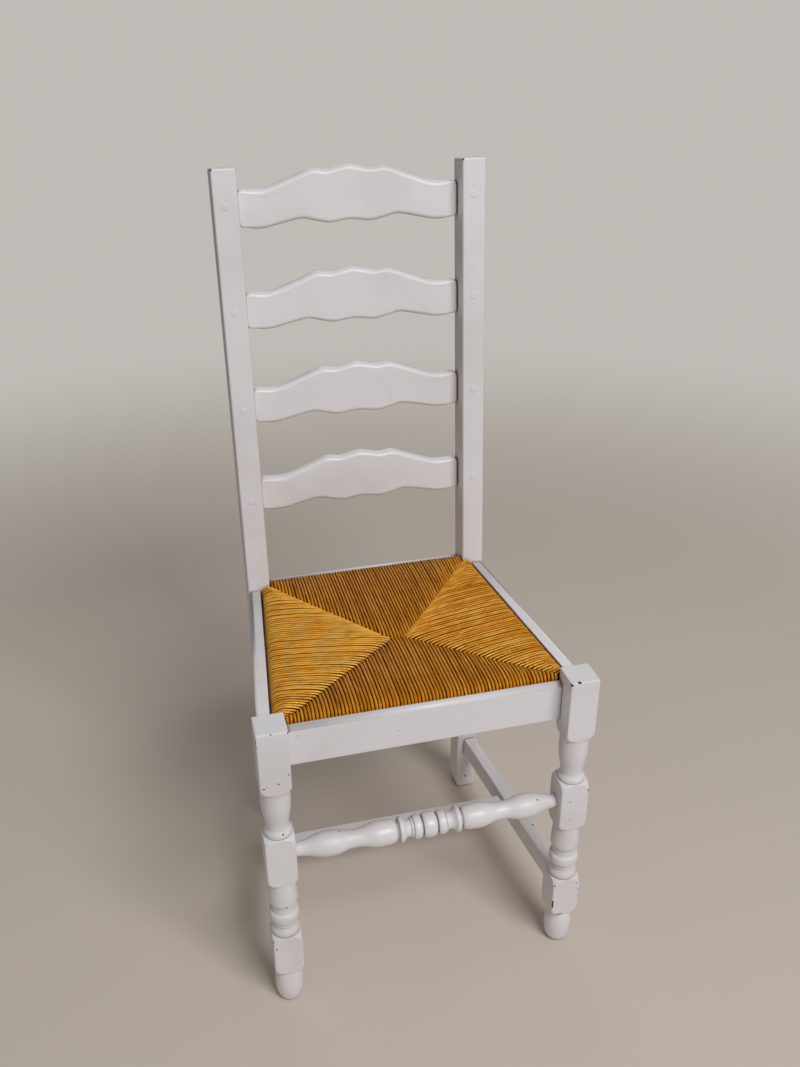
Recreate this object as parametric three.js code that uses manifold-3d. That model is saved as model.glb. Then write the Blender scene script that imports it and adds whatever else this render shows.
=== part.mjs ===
// Ladder-back chair: turned front legs, raked rear posts, four shaped slats and a drop-in rush seat.
// Millimetres, +Z up, the chair's front towards -Y. Left and right are as seen from the front.

import * as THREE from 'three';
import { mergeVertices } from 'three/addons/utils/BufferGeometryUtils.js';
import Module from 'manifold-3d';

const wasm = await Module();
wasm.setup();

// Fits and edges
const clearance = 0.3; // gap between two pieces that meet
const edgeEase = 1.5; // broken edge on sawn timber
const overrun = 1; // how far a cutter or a joined end runs past the face that it meets

// Front legs, turned from a square
const legSpacing = 393; // centre to centre
const legSquare = 39;
const legRise = 17; // above the seat rails
const lowerBlockBottom = 61;
const lowerBlockTop = 127;
const middleBlockBottom = 221;
const middleBlockTop = 298;
const upperBlockHeight = 93; // from the leg's top down
const shoulderDrop = 14; // how far a block's turned shoulder runs down its corners
const shoulderRadius = 17; // where the shoulder ends, on top of a block
const footFlat = 10; // radius of the flat that stands on the floor
const footRound = 7.2; // how fast the foot rounds out of its flat
const footBulb = 19.2; // radius
const footBulbHeight = 27.5;
const footCurve = 11; // below the bulb's widest place
const footNeck = 15; // radius
const footNeckCurve = 18.5; // above the bulb's widest place
const footNeckLength = 10;
const footNeckGap = 2; // neck's end, below the lower block
const bellRadius = 19.3; // bell that sits on the lower block
const bellLip = 4;
const bellNeckRadius = 16.8;
const bellRise = 17.5; // above the lower block, as are the next rises
const filletRadius = 17.5; // thin ring between bell and bead
const filletRise = 21.5;
const beadRadius = 20;
const beadRise = 29.5;
const beadTopRadius = 18.3;
const beadTopRise = 38;
const throatRadius = 15.9; // hollow between bead and lower vase
const throatRise = 51;
const vaseRadius = 19.4; // lower vase, at its widest
const vaseRise = 59;
const vaseTopRadius = 16.4; // lower vase, where it meets the middle block
const collarRadius = 17.8; // collar that sits on the middle block
const collarLip = 3;
const upperNeckRadius = 14.8; // upper vase, at its narrowest
const upperNeckRise = 13; // above the middle block
const upperVaseRadius = 19.1; // upper vase, at its widest
const upperVaseDrop = 22; // below the upper block
const legSides = 16; // facets round a turned leg

// Rear posts
const seatDepth = 334; // front legs' centre line to the posts' front face
const postSpacing = 328; // centre to centre
const postWidth = 32;
const postDepth = 40;
const postHeight = 1031.5; // front edge of the post's top
const postTopDrop = 4.6; // the top slopes down to the back
const postEase = 2.5; // rounded upright edges
const bendRise = 2; // upright below this height over the seat rails, raked above
const rakeSetBack = 45.5; // set-back of the post's top
const bendLength = 50; // length of the curve on either side of the bend
const footTaper = 7; // cut off each side of a post's foot
const footTaperHeight = 12;

// Seat rails
const railTop = 448;
const railHeight = 56;
const railRound = 5.5; // rounded outer top edge
const endRailLip = 9.5; // front and rear rail, beside the rush
const sideRailLip = 17;
const ledgeDepth = 24; // rebate below the rail's top
const ledgeWidth = 11;
const frontRailSetBack = 26; // behind the legs' front face
const rearRailSetBack = 5; // before the posts' back face
const sideRailLegInset = 5.6; // inside the legs' outer face
const sideRailPostInset = 0.6; // inside the posts' outer face
const railTenonThickness = 7;
const railTenonLength = 16;
const railTenonShoulder = 8; // above and below the tenon

// Slats, as offsets from the top of a slat's end
const slatCount = 4;
const topSlatDrop = 31.2; // posts' top down to the uppermost slat's ends
const lowestSlatRise = 160.5; // seat rails' top up to the lowest slat's ends
const slatThickness = 17;
const slatSetBack = 31.5; // post's front face to the slat's middle plane
const slatEndHeight = 46;
const slatEndRound = 7; // corners of a slat's end
const slatFlatLength = 35.5; // level stretch of the upper edge
const slatFlatRise = 0.8; // its rise from the end
const slatShoulderX = 50; // shoulder, from the slat's middle
const slatShoulderRise = 21.8;
const slatDipX = 30; // hollow between shoulder and peak
const slatDip = 1.2;
const slatCrestX = 14; // where the peak begins
const slatCrestDrop = 2.3;
const slatPeak = 26;
const slatLobeInset = 29.5; // outer lobes of the lower edge, from the end
const slatLobeDrop = 2.8;
const slatArchX = 65; // side arches, from the slat's middle
const slatArchRise = 7;
const slatCuspX = 29; // points between the arches
const slatMiddleArch = 3;
const slatRound = 7; // pillowed edge
const slatEdgeSteps = 18; // straight steps along a shaped edge
const slatTenonThickness = 8;
const slatTenonHeight = 28;
const slatTenonLength = 23;
const pegDiameter = 10;
const pegDrop = 14.8; // below the top of the uppermost slat's end
const pegCreep = 2.1; // how much lower each next peg sits in its slat
const pegDepth = 37; // from the post's front face
const pegProud = 0.4;
const pegSides = 10; // facets round a peg

// Stretchers
const frontStretcherHeight = 260.8; // axis
const stretcherBallRadius = 16.8; // turned the same way out from its middle
const stretcherBallHalf = 10;
const stretcherGroove = 12.5; // radius of the grooves
const stretcherBeadRadius = 16;
const stretcherBeadWidth = 12;
const stretcherFilletRadius = 13.5;
const stretcherFilletWidth = 2.5;
const stretcherCoveRadius = 9.3;
const stretcherCoveWidth = 10.5;
const stretcherDiscRadius = 17.2;
const stretcherDiscWidth = 6;
const stretcherDiscTaper = 1;
const stretcherQuirkWidth = 3;
const stretcherVaseRadius = 17;
const stretcherVaseLength = 42;
const stretcherNeckRadius = 11.8;
const stretcherBulgeRadius = 16.6;
const stretcherBulgeInset = 46; // bulge's middle to the leg
const stretcherEndRadius = 9;
const stretcherTenonRadius = 7;
const stretcherTenonLength = 15;
const stretcherSides = 12; // facets round the turned stretcher
const sideStretcherTop = 105;
const sideStretcherHeight = 32;
const sideStretcherWidth = 19;
const sideStretcherLegInset = 4.3; // inside the legs' outer face
const sideStretcherPostInset = 1.8; // inside the posts' outer face
const sideStretcherTenonThickness = 9;
const sideStretcherTenonHeight = 20;
const sideStretcherTenonLength = 17;
const crossStretcherTop = 97;
const crossStretcherHeight = 24;
const crossStretcherWidth = 19;
const crossStretcherBack = 198; // back face, from the front legs' centre line
const crossTenonLength = 9;
const crossTenonHeight = 12;
const crossTenonThickness = 9;

// Drop-in seat
const rushRise = 7.5; // the cords' crowns, above the seat rails
const rushGap = 1.2; // between the rush and the rails' lips
const rushShoulder = 9; // how far in the rush's edge rolls over
const rushRoll = 8; // how far down it rolls
const shortCordShoulder = 0.7; // the shoulder's largest share of a short cord
const shortCordGroove = 0.5; // the groove's largest share of a short cord
const cordRidge = 1.7; // depth of the groove between two cords
const seamDip = 3; // the seams lie this much below the cords' crowns
const frontCords = 36; // cords from a front corner to the middle ridge
const rearCords = 31; // cords from a rear corner to the middle ridge
const ridgeCords = 4; // cords that meet at the middle ridge
const ridgeLength = 18;
const ridgeFromFront = 141; // rush's front edge to the middle ridge
const rushLegGap = 6; // rush's front corner to the leg's inner face
const rushLegBackGap = 2.5; // rush's front corner to the leg's back face
const rushPostGap = 1.5; // rush's rear notch to the post
const barWidth = 22;
const barCover = 7; // rush round the frame's bars
const barTenonLength = 10;
const barTenonThickness = 5;
const barTenonHeight = 8;

// Values that follow from the driving dimensions
const legX = legSpacing / 2;
const legHeight = railTop + legRise;
const upperBlockBottom = legHeight - upperBlockHeight;
const legInner = legX - legSquare / 2;
const legOuter = legX + legSquare / 2;
const legBack = legSquare / 2;
const legFront = -legSquare / 2;
const postX = postSpacing / 2;
const postInner = postX - postWidth / 2;
const postOuter = postX + postWidth / 2;
const postFront = seatDepth;
const postBack = seatDepth + postDepth;
const bendHeight = railTop + bendRise;
const rakeSlope = rakeSetBack / (postHeight - bendHeight);
const topSlatHeight = postHeight - topSlatDrop;
const slatPitch = (topSlatHeight - railTop - lowestSlatRise) / (slatCount - 1);
const railBottom = railTop - railHeight;
const ledgeTop = railTop - ledgeDepth;
const railTenonBottom = railBottom + railTenonShoulder;
const railTenonTop = railTop - railTenonShoulder - railRound;
const frontRailFace = legFront + frontRailSetBack;
const rearRailFace = postBack - rearRailSetBack;
const sideRailLine = { front: legOuter - sideRailLegInset, rear: postOuter - sideRailPostInset };
const sideStretcherLine = {
  front: legOuter - sideStretcherLegInset,
  rear: postOuter - sideStretcherPostInset,
};
const rushLine = {
  front: sideRailLine.front - sideRailLip - rushGap,
  rear: sideRailLine.rear - sideRailLip - rushGap,
};
const rushFront = frontRailFace + endRailLip + rushGap;
const rushRear = rearRailFace - endRailLip - rushGap;
const rushTop = railTop + rushRise;
const rushBottom = ledgeTop + clearance;
const topBack = postBack + rakeSetBack - rakeSlope * postTopDrop;
const depthCentre = (legFront + topBack) / 2;

// Finishes
const paint = { color: 0xe3ddd2, roughness: 0.42, metalness: 0 };
const rush = { color: 0xb27a20, roughness: 0.6, metalness: 0 };
const bareWood = { color: 0xb98d5c, roughness: 0.75, metalness: 0 };

const chair = new THREE.Group();
chair.position.y = -depthCentre;

// Booleans

function solidOf(geometry) {
  const bare = geometry.clone();
  bare.deleteAttribute('normal');
  bare.deleteAttribute('uv');
  const merged = mergeVertices(bare, 1e-4);
  return new wasm.Manifold(new wasm.Mesh({
    numProp: 3,
    vertProperties: new Float32Array(merged.attributes.position.array),
    triVerts: new Uint32Array(merged.index.array),
  }));
}

function geometryOf(solid) {
  const mesh = solid.getMesh();
  const geometry = new THREE.BufferGeometry();
  geometry.setAttribute('position', new THREE.BufferAttribute(new Float32Array(mesh.vertProperties), 3));
  geometry.setIndex(new THREE.BufferAttribute(new Uint32Array(mesh.triVerts), 1));
  geometry.computeVertexNormals();
  return geometry;
}

function joined(body, additions) {
  return additions.reduce((solid, geometry) => solid.add(solidOf(geometry)), body);
}

function cut(body, cutters) {
  return cutters.reduce((solid, geometry) => solid.subtract(solidOf(geometry)), body);
}

function addPiece(name, solid, finish) {
  const mesh = new THREE.Mesh(geometryOf(solid), new THREE.MeshStandardMaterial(finish));
  mesh.name = name;
  chair.add(mesh);
}

// Outlines and bars

function sideName(side) {
  return side < 0 ? 'left' : 'right';
}

// Rectangle with broken corners, as [across, up] points
function easedRectangle(across0, across1, low, high, ease) {
  return [
    [across0 + ease, low], [across1 - ease, low], [across1, low + ease], [across1, high - ease],
    [across1 - ease, high], [across0 + ease, high], [across0, high - ease], [across0, low + ease],
  ];
}

function rectangle(across0, across1, low, high) {
  return [[across0, low], [across1, low], [across1, high], [across0, high]];
}

function grownRectangle(across0, across1, low, high) {
  return rectangle(across0 - clearance, across1 + clearance, low - clearance, high + clearance);
}

function shapeOf(points) {
  return new THREE.Shape(points.map(([across, up]) => new THREE.Vector2(across, up)));
}

function turnTo(geometry, xAxis, yAxis, zAxis) {
  return geometry.applyMatrix4(new THREE.Matrix4().makeBasis(xAxis, yAxis, zAxis));
}

const alongX = new THREE.Vector3(1, 0, 0);
const alongY = new THREE.Vector3(0, 1, 0);
const alongZ = new THREE.Vector3(0, 0, 1);
const againstY = new THREE.Vector3(0, -1, 0);

// Bar along X; its section is drawn as [distance inwards from a face at faceY, height]
function crossBar(section, faceY, inwards, xLeft, xRight) {
  const shape = shapeOf(section.map(([inward, z]) => [faceY + inwards * inward, z]));
  const geometry = new THREE.ExtrudeGeometry(shape, { depth: xRight - xLeft, bevelEnabled: false });
  turnTo(geometry, alongY, alongZ, alongX);
  return geometry.translate(xLeft, 0, 0);
}

// x of a line along the seat's side, given where it meets the leg's back face and the post's front face
function sideX(line, y) {
  return line.front + (line.rear - line.front) * (y - legBack) / (postFront - legBack);
}

// Bar along the seat's side; its section is drawn as [distance inwards from the line, height]
function sideBar(section, line, side, yFront, yBack) {
  const slope = (line.rear - line.front) / (postFront - legBack);
  const shape = shapeOf(section.map(([inward, z]) => [-side * inward, z]));
  const geometry = new THREE.ExtrudeGeometry(shape, { depth: yBack - yFront, bevelEnabled: false });
  turnTo(geometry, alongX, alongZ, againstY);
  geometry.translate(0, yBack, 0);
  geometry.applyMatrix4(new THREE.Matrix4().makeShear(0, 0, side * slope, 0, 0, 0));
  return geometry.translate(side * sideX(line, 0), 0, 0);
}

// Block with upright sides between two heights; its plan is drawn as [x, y]
function planBlock(plan, low, high, ease) {
  const geometry = new THREE.ExtrudeGeometry(shapeOf(plan), {
    depth: high - low - 2 * ease,
    bevelEnabled: ease > 0,
    bevelThickness: ease,
    bevelSize: ease,
    bevelOffset: -ease,
    bevelSegments: 1,
  });
  return geometry.translate(0, 0, low + ease);
}

// Leans a piece of the back with the posts' rake
function raked(geometry) {
  geometry.applyMatrix4(new THREE.Matrix4().makeShear(0, 0, 0, 0, 0, rakeSlope));
  return geometry.translate(0, -rakeSlope * bendHeight, 0);
}

// Turned piece about Z from a profile path of (radius, height)
function turned(path, divisions, sides) {
  return new THREE.LatheGeometry(path.getPoints(divisions), sides).rotateX(Math.PI / 2);
}

// Tenons; grown by the clearance they are the mortises' cutters

function frontRailTenon(side, rectangleOf, reach) {
  const middle = endRailLip / 2;
  const half = railTenonThickness / 2;
  const section = rectangleOf(middle - half, middle + half, railTenonBottom, railTenonTop);
  const ends = [side * (legInner - overrun), side * (legInner + reach)].sort((a, b) => a - b);
  return crossBar(section, frontRailFace, 1, ends[0], ends[1]);
}

function rearRailTenon(side, rectangleOf, reach) {
  const middle = endRailLip / 2;
  const half = railTenonThickness / 2;
  const section = rectangleOf(middle - half, middle + half, railTenonBottom, railTenonTop);
  const ends = [side * (postInner - overrun), side * (postInner + reach)].sort((a, b) => a - b);
  return crossBar(section, rearRailFace, -1, ends[0], ends[1]);
}

function sideRailTenon(side, rectangleOf, reach) {
  const middle = sideRailLip / 2;
  const half = railTenonThickness / 2;
  const section = rectangleOf(middle - half, middle + half, railTenonBottom, railTenonTop);
  return sideBar(section, sideRailLine, side, legBack - reach, postFront + reach);
}

function sideStretcherTenon(side, rectangleOf, reach) {
  const middle = sideStretcherWidth / 2;
  const half = sideStretcherTenonThickness / 2;
  const middleHeight = sideStretcherTop - sideStretcherHeight / 2;
  const halfHeight = sideStretcherTenonHeight / 2;
  const low = middleHeight - halfHeight;
  const section = rectangleOf(middle - half, middle + half, low, low + 2 * halfHeight);
  return sideBar(section, sideStretcherLine, side, legBack - reach, postFront + reach);
}

function crossStretcherTenon(rectangleOf, reach) {
  const middle = crossStretcherWidth / 2;
  const half = crossTenonThickness / 2;
  const middleHeight = crossStretcherTop - crossStretcherHeight / 2;
  const halfHeight = crossTenonHeight / 2;
  const low = middleHeight - halfHeight;
  const section = rectangleOf(middle - half, middle + half, low, low + 2 * halfHeight);
  const inner = sideX(sideStretcherLine, crossStretcherBack - middle) - sideStretcherWidth;
  return crossBar(section, crossStretcherBack, -1, -inner - reach, inner + reach);
}

function slatTenon(index, rectangleOf, reach) {
  const half = slatTenonThickness / 2;
  const middleHeight = topSlatHeight - index * slatPitch - slatEndHeight / 2;
  const halfHeight = slatTenonHeight / 2;
  const section = rectangleOf(-half, half, middleHeight - halfHeight, middleHeight + halfHeight);
  return raked(crossBar(section, postFront + slatSetBack, 1, -postInner - reach, postInner + reach));
}

function slatPeg(side, index, radius, depth) {
  const geometry = new THREE.CylinderGeometry(radius, radius, depth + pegProud, pegSides);
  const height = topSlatHeight - index * (slatPitch + pegCreep) - pegDrop;
  return raked(geometry.translate(side * postX, postFront + (depth - pegProud) / 2, height));
}

function pegHole(side, index) {
  return slatPeg(side, index, pegDiameter / 2 + clearance, pegDepth + clearance);
}

function stretcherTenon(radius, reach) {
  const geometry = new THREE.CylinderGeometry(radius, radius, 2 * (legInner + reach), stretcherSides);
  return geometry.rotateZ(Math.PI / 2).translate(0, 0, frontStretcherHeight);
}

// Front legs: a square prism met by the turned form that a lathe leaves

function legTurning() {
  const face = legSquare / 2;
  const corner = Math.hypot(face, face - edgeEase) + clearance;
  const path = new THREE.Path();
  const intoBlock = (z) => {
    path.lineTo(face, z);
    path.quadraticCurveTo(corner, z, corner, z + shoulderDrop);
  };
  const outOfBlock = (z) => {
    path.lineTo(corner, z - shoulderDrop);
    path.quadraticCurveTo(corner, z, shoulderRadius, z);
  };
  const footNeckTop = lowerBlockBottom - footNeckGap;
  path.moveTo(0, 0);
  path.lineTo(footFlat, 0);
  path.bezierCurveTo(footFlat + footRound, 0, footBulb, footBulbHeight - footCurve,
    footBulb, footBulbHeight);
  path.bezierCurveTo(footBulb, footBulbHeight + footNeckCurve, footNeck, footNeckTop - footNeckLength,
    footNeck, footNeckTop);
  intoBlock(lowerBlockBottom);
  outOfBlock(lowerBlockTop);

  // Bell, bead and lower vase
  const bellTop = lowerBlockTop + bellLip;
  const bellHeight = lowerBlockTop + bellRise;
  const filletHeight = lowerBlockTop + filletRise;
  const beadHeight = lowerBlockTop + beadRise;
  const beadTop = lowerBlockTop + beadTopRise;
  const throatHeight = lowerBlockTop + throatRise;
  const vaseHeight = lowerBlockTop + vaseRise;
  const bellMiddle = (bellTop + bellHeight) / 2;
  const vaseMiddle = (vaseHeight + middleBlockBottom) / 2;
  path.quadraticCurveTo(bellRadius, lowerBlockTop, bellRadius, bellTop);
  path.bezierCurveTo(bellRadius, bellMiddle, bellNeckRadius, bellMiddle, bellNeckRadius, bellHeight);
  path.lineTo(filletRadius, bellHeight);
  path.lineTo(filletRadius, filletHeight);
  path.quadraticCurveTo(beadRadius, filletHeight, beadRadius, beadHeight);
  path.quadraticCurveTo(beadRadius, beadTop, beadTopRadius, beadTop);
  path.quadraticCurveTo(throatRadius, beadTop, throatRadius, throatHeight);
  path.quadraticCurveTo(vaseRadius, throatHeight, vaseRadius, vaseHeight);
  path.bezierCurveTo(vaseRadius, vaseMiddle, vaseTopRadius, vaseMiddle,
    vaseTopRadius, middleBlockBottom - overrun);
  intoBlock(middleBlockBottom);
  outOfBlock(middleBlockTop);

  // Collar and upper vase
  const collarTop = middleBlockTop + collarLip;
  const upperNeck = middleBlockTop + upperNeckRise;
  const upperBelly = upperBlockBottom - upperVaseDrop;
  const collarMiddle = (collarTop + upperNeck) / 2;
  path.quadraticCurveTo(collarRadius, middleBlockTop, collarRadius, collarTop);
  path.bezierCurveTo(collarRadius, collarMiddle, upperNeckRadius, collarMiddle, upperNeckRadius, upperNeck);
  path.bezierCurveTo(upperNeckRadius, (2 * upperNeck + upperBelly) / 3, upperVaseRadius,
    (upperNeck + upperBelly) / 2, upperVaseRadius, upperBelly);
  path.lineTo(upperVaseRadius, upperBlockBottom - overrun);
  intoBlock(upperBlockBottom);
  path.lineTo(corner, legHeight + overrun);
  path.lineTo(0, legHeight + overrun);
  return turned(path, 2, legSides);
}

function frontLeg(side) {
  const half = legSquare / 2;
  const plan = easedRectangle(-half, half, -half, half, edgeEase);
  const square = planBlock(plan, -legSquare, legHeight, edgeEase);
  const leg = solidOf(square).intersect(solidOf(legTurning())).translate([side * legX, 0, 0]);
  const mortises = [
    frontRailTenon(side, grownRectangle, railTenonLength + clearance),
    sideRailTenon(side, grownRectangle, railTenonLength + clearance),
    sideStretcherTenon(side, grownRectangle, sideStretcherTenonLength + clearance),
    stretcherTenon(stretcherTenonRadius + clearance, stretcherTenonLength + clearance),
  ];
  addPiece(`front_leg_${sideName(side)}`, cut(leg, mortises), paint);
}

// Rear posts: the side outline with its bend, met by the front outline with its tapered foot

function postSideOutline() {
  const shape = new THREE.Shape();
  const low = bendHeight - bendLength;
  const high = bendHeight + bendLength;
  const lean = rakeSlope * bendLength;
  shape.moveTo(postFront + footTaper / 2, 0);
  shape.lineTo(postBack - footTaper, 0);
  shape.lineTo(postBack, footTaperHeight);
  shape.lineTo(postBack, low);
  shape.quadraticCurveTo(postBack, bendHeight, postBack + lean, high);
  shape.lineTo(topBack, postHeight - postTopDrop);
  shape.lineTo(postFront + rakeSetBack, postHeight);
  shape.lineTo(postFront + lean, high);
  shape.quadraticCurveTo(postFront, bendHeight, postFront, low);
  shape.lineTo(postFront, footTaperHeight);
  return shape;
}

function rearPost(side) {
  const geometry = new THREE.ExtrudeGeometry(postSideOutline(), {
    depth: postWidth - 2 * postEase,
    curveSegments: 4,
    bevelThickness: postEase,
    bevelSize: postEase,
    bevelOffset: -postEase,
    bevelSegments: 1,
  });
  turnTo(geometry, alongY, alongZ, alongX);
  geometry.translate(side * postX - postWidth / 2 + postEase, 0, 0);

  const frontOutline = [
    [postInner + footTaper, -overrun], [postOuter - footTaper, -overrun], [postOuter - footTaper, 0],
    [postOuter + overrun, footTaperHeight], [postOuter + overrun, postHeight + overrun],
    [postInner - overrun, postHeight + overrun], [postInner - overrun, footTaperHeight],
    [postInner + footTaper, 0],
  ];
  const outline = shapeOf(frontOutline.map(([x, z]) => [side * x, z]));
  const slab = new THREE.ExtrudeGeometry(outline, { depth: 2 * postBack, bevelEnabled: false });
  turnTo(slab, alongX, alongZ, againstY);
  slab.translate(0, 2 * postBack, 0);

  const post = solidOf(geometry).intersect(solidOf(slab));
  const mortises = [
    rearRailTenon(side, grownRectangle, railTenonLength + clearance),
    sideRailTenon(side, grownRectangle, railTenonLength + clearance),
    sideStretcherTenon(side, grownRectangle, sideStretcherTenonLength + clearance),
  ];
  for (let index = 0; index < slatCount; index += 1) {
    mortises.push(slatTenon(index, grownRectangle, slatTenonLength + clearance));
    mortises.push(pegHole(side, index));
  }
  addPiece(`rear_post_${sideName(side)}`, cut(post, mortises), paint);
}

// Seat rails: a rounded outer top edge, a lip beside the rush and a rebate that carries the seat

function railSection(lip) {
  const path = new THREE.Path();
  path.moveTo(edgeEase, railBottom);
  path.lineTo(lip + ledgeWidth, railBottom);
  path.lineTo(lip + ledgeWidth, ledgeTop);
  path.lineTo(lip, ledgeTop);
  path.lineTo(lip, railTop - edgeEase / 2);
  path.lineTo(lip - edgeEase / 2, railTop);
  path.lineTo(railRound, railTop);
  path.quadraticCurveTo(0, railTop, 0, railTop - railRound);
  path.lineTo(0, railBottom + edgeEase);
  return path.getPoints(4).map((point) => [point.x, point.y]);
}

function seatRails() {
  const frontEnd = legInner - clearance;
  const frontRail = solidOf(crossBar(railSection(endRailLip), frontRailFace, 1, -frontEnd, frontEnd));
  const frontTenons = [-1, 1].map((side) => frontRailTenon(side, rectangle, railTenonLength));
  addPiece('front_seat_rail', joined(frontRail, frontTenons), paint);

  const rearEnd = postInner - clearance;
  const rearRail = solidOf(crossBar(railSection(endRailLip), rearRailFace, -1, -rearEnd, rearEnd));
  const rearTenons = [-1, 1].map((side) => rearRailTenon(side, rectangle, railTenonLength));
  addPiece('rear_seat_rail', joined(rearRail, rearTenons), paint);

  for (const side of [-1, 1]) {
    const section = railSection(sideRailLip);
    const body = sideBar(section, sideRailLine, side, legBack + clearance, postFront - clearance);
    const rail = joined(solidOf(body), [sideRailTenon(side, rectangle, railTenonLength)]);
    addPiece(`side_seat_rail_${sideName(side)}`, rail, paint);
  }
}

// Back slats: humped above, scalloped below, every edge pillowed

function slatOutline(top) {
  const end = postInner - clearance;
  const bottom = top - slatEndHeight;
  const peak = top + slatPeak;
  const shoulder = top + slatShoulderRise;
  const flatX = end - slatFlatLength;
  const lobeX = end - slatLobeInset;
  const between = ([x0, z0], [x1, z1]) => [(x0 + x1) / 2, (z0 + z1) / 2];
  const flat = [flatX, top + slatFlatRise];
  const shoulderPoint = [slatShoulderX, shoulder];
  const upper = [
    [end - slatEndRound, top], flat, between(flat, shoulderPoint), shoulderPoint,
    [slatDipX, shoulder - slatDip], [slatCrestX, peak - slatCrestDrop],
  ];
  const lobe = [lobeX, bottom - slatLobeDrop];
  const arch = [slatArchX, bottom + slatArchRise];
  const cusp = [slatCuspX, bottom];
  const lower = [
    [end - slatEndRound, bottom], lobe, between(lobe, arch), arch, between(arch, cusp), cusp,
    between(cusp, [0, bottom + slatMiddleArch]),
  ];
  const vector = ([x, z]) => new THREE.Vector2(x, z);
  const mirrored = ([x, z]) => new THREE.Vector2(-x, z);
  const lowerEdge = new THREE.SplineCurve([
    ...lower.map(mirrored), vector([0, bottom + slatMiddleArch]), ...lower.slice().reverse().map(vector),
  ]);
  const upperEdge = new THREE.SplineCurve([
    ...upper.map(vector), vector([0, peak]), ...upper.slice().reverse().map(mirrored),
  ]);
  const shape = new THREE.Shape(lowerEdge.getPoints(slatEdgeSteps));
  shape.quadraticCurveTo(end, bottom, end, bottom + slatEndRound);
  shape.lineTo(end, top - slatEndRound);
  shape.quadraticCurveTo(end, top, end - slatEndRound, top);
  upperEdge.getPoints(slatEdgeSteps).forEach((point) => shape.lineTo(point.x, point.y));
  shape.quadraticCurveTo(-end, top, -end, top - slatEndRound);
  shape.lineTo(-end, bottom + slatEndRound);
  shape.quadraticCurveTo(-end, bottom, slatEndRound - end, bottom);
  return shape;
}

function backSlat(index) {
  const geometry = new THREE.ExtrudeGeometry(slatOutline(topSlatHeight - index * slatPitch), {
    depth: slatThickness - 2 * slatRound,
    curveSegments: 2,
    bevelThickness: slatRound,
    bevelSize: slatRound,
    bevelOffset: -slatRound,
    bevelSegments: 2,
  });
  turnTo(geometry, alongX, alongZ, againstY);
  geometry.translate(0, postFront + slatSetBack + slatThickness / 2 - slatRound, 0);
  const slat = joined(solidOf(raked(geometry)), [slatTenon(index, rectangle, slatTenonLength)]);
  addPiece(`back_slat_${index + 1}`, cut(slat, [-1, 1].map((side) => pegHole(side, index))), paint);
}

function slatPegs(index) {
  for (const side of [-1, 1]) {
    const peg = solidOf(slatPeg(side, index, pegDiameter / 2, pegDepth));
    addPiece(`slat_peg_${sideName(side)}_${index + 1}`, peg, paint);
  }
}

// Front stretcher: turned the same way out from its middle ball

function frontStretcher() {
  const end = legInner - clearance;
  const half = new THREE.Path();
  const beadStart = stretcherBallHalf;
  const filletStart = beadStart + stretcherBeadWidth;
  const coveStart = filletStart + stretcherFilletWidth;
  const discStart = coveStart + stretcherCoveWidth;
  const quirkStart = discStart + stretcherDiscWidth;
  const vaseStart = quirkStart + stretcherQuirkWidth;
  const vaseMiddle = vaseStart + stretcherVaseLength / 2;
  const bulgeMiddle = end - stretcherBulgeInset;
  const neckMiddle = (vaseMiddle + bulgeMiddle) / 2;
  const swell = (neckMiddle - vaseMiddle) / 2;
  half.moveTo(stretcherBallRadius, 0);
  half.quadraticCurveTo(stretcherBallRadius, beadStart, stretcherGroove, beadStart);
  half.quadraticCurveTo(stretcherBeadRadius, beadStart, stretcherBeadRadius, (beadStart + filletStart) / 2);
  half.quadraticCurveTo(stretcherBeadRadius, filletStart, stretcherFilletRadius, filletStart);
  half.lineTo(stretcherFilletRadius, coveStart);
  half.bezierCurveTo(stretcherCoveRadius, coveStart, stretcherCoveRadius, discStart,
    stretcherDiscRadius, discStart);
  half.lineTo(stretcherDiscRadius - stretcherDiscTaper, quirkStart);
  half.lineTo(stretcherGroove, vaseStart);
  half.quadraticCurveTo(stretcherVaseRadius, vaseStart, stretcherVaseRadius, vaseMiddle);
  half.bezierCurveTo(stretcherVaseRadius, vaseMiddle + swell, stretcherNeckRadius, neckMiddle - swell,
    stretcherNeckRadius, neckMiddle);
  half.bezierCurveTo(stretcherNeckRadius, neckMiddle + swell, stretcherBulgeRadius, bulgeMiddle - swell,
    stretcherBulgeRadius, bulgeMiddle);
  half.bezierCurveTo(stretcherBulgeRadius, end - stretcherBulgeInset / 2, stretcherEndRadius,
    end - stretcherBulgeInset / 2, stretcherEndRadius, end);
  const outward = half.getPoints(3);
  const inward = outward.slice(1).reverse().map((point) => new THREE.Vector2(point.x, -point.y));
  const profile = [new THREE.Vector2(0, -end), ...inward, ...outward, new THREE.Vector2(0, end)];
  const geometry = new THREE.LatheGeometry(profile, stretcherSides);
  geometry.rotateZ(Math.PI / 2).translate(0, 0, frontStretcherHeight);
  const stretcher = joined(solidOf(geometry), [stretcherTenon(stretcherTenonRadius, stretcherTenonLength)]);
  addPiece('front_stretcher', stretcher, paint);
}

// Side stretchers and the cross stretcher between them

function sideStretchers() {
  const bottom = sideStretcherTop - sideStretcherHeight;
  const section = easedRectangle(0, sideStretcherWidth, bottom, sideStretcherTop, edgeEase);
  for (const side of [-1, 1]) {
    const body = sideBar(section, sideStretcherLine, side, legBack + clearance, postFront - clearance);
    const bar = joined(solidOf(body), [sideStretcherTenon(side, rectangle, sideStretcherTenonLength)]);
    const mortise = crossStretcherTenon(grownRectangle, crossTenonLength + clearance);
    addPiece(`side_stretcher_${sideName(side)}`, cut(bar, [mortise]), paint);
  }
}

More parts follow.
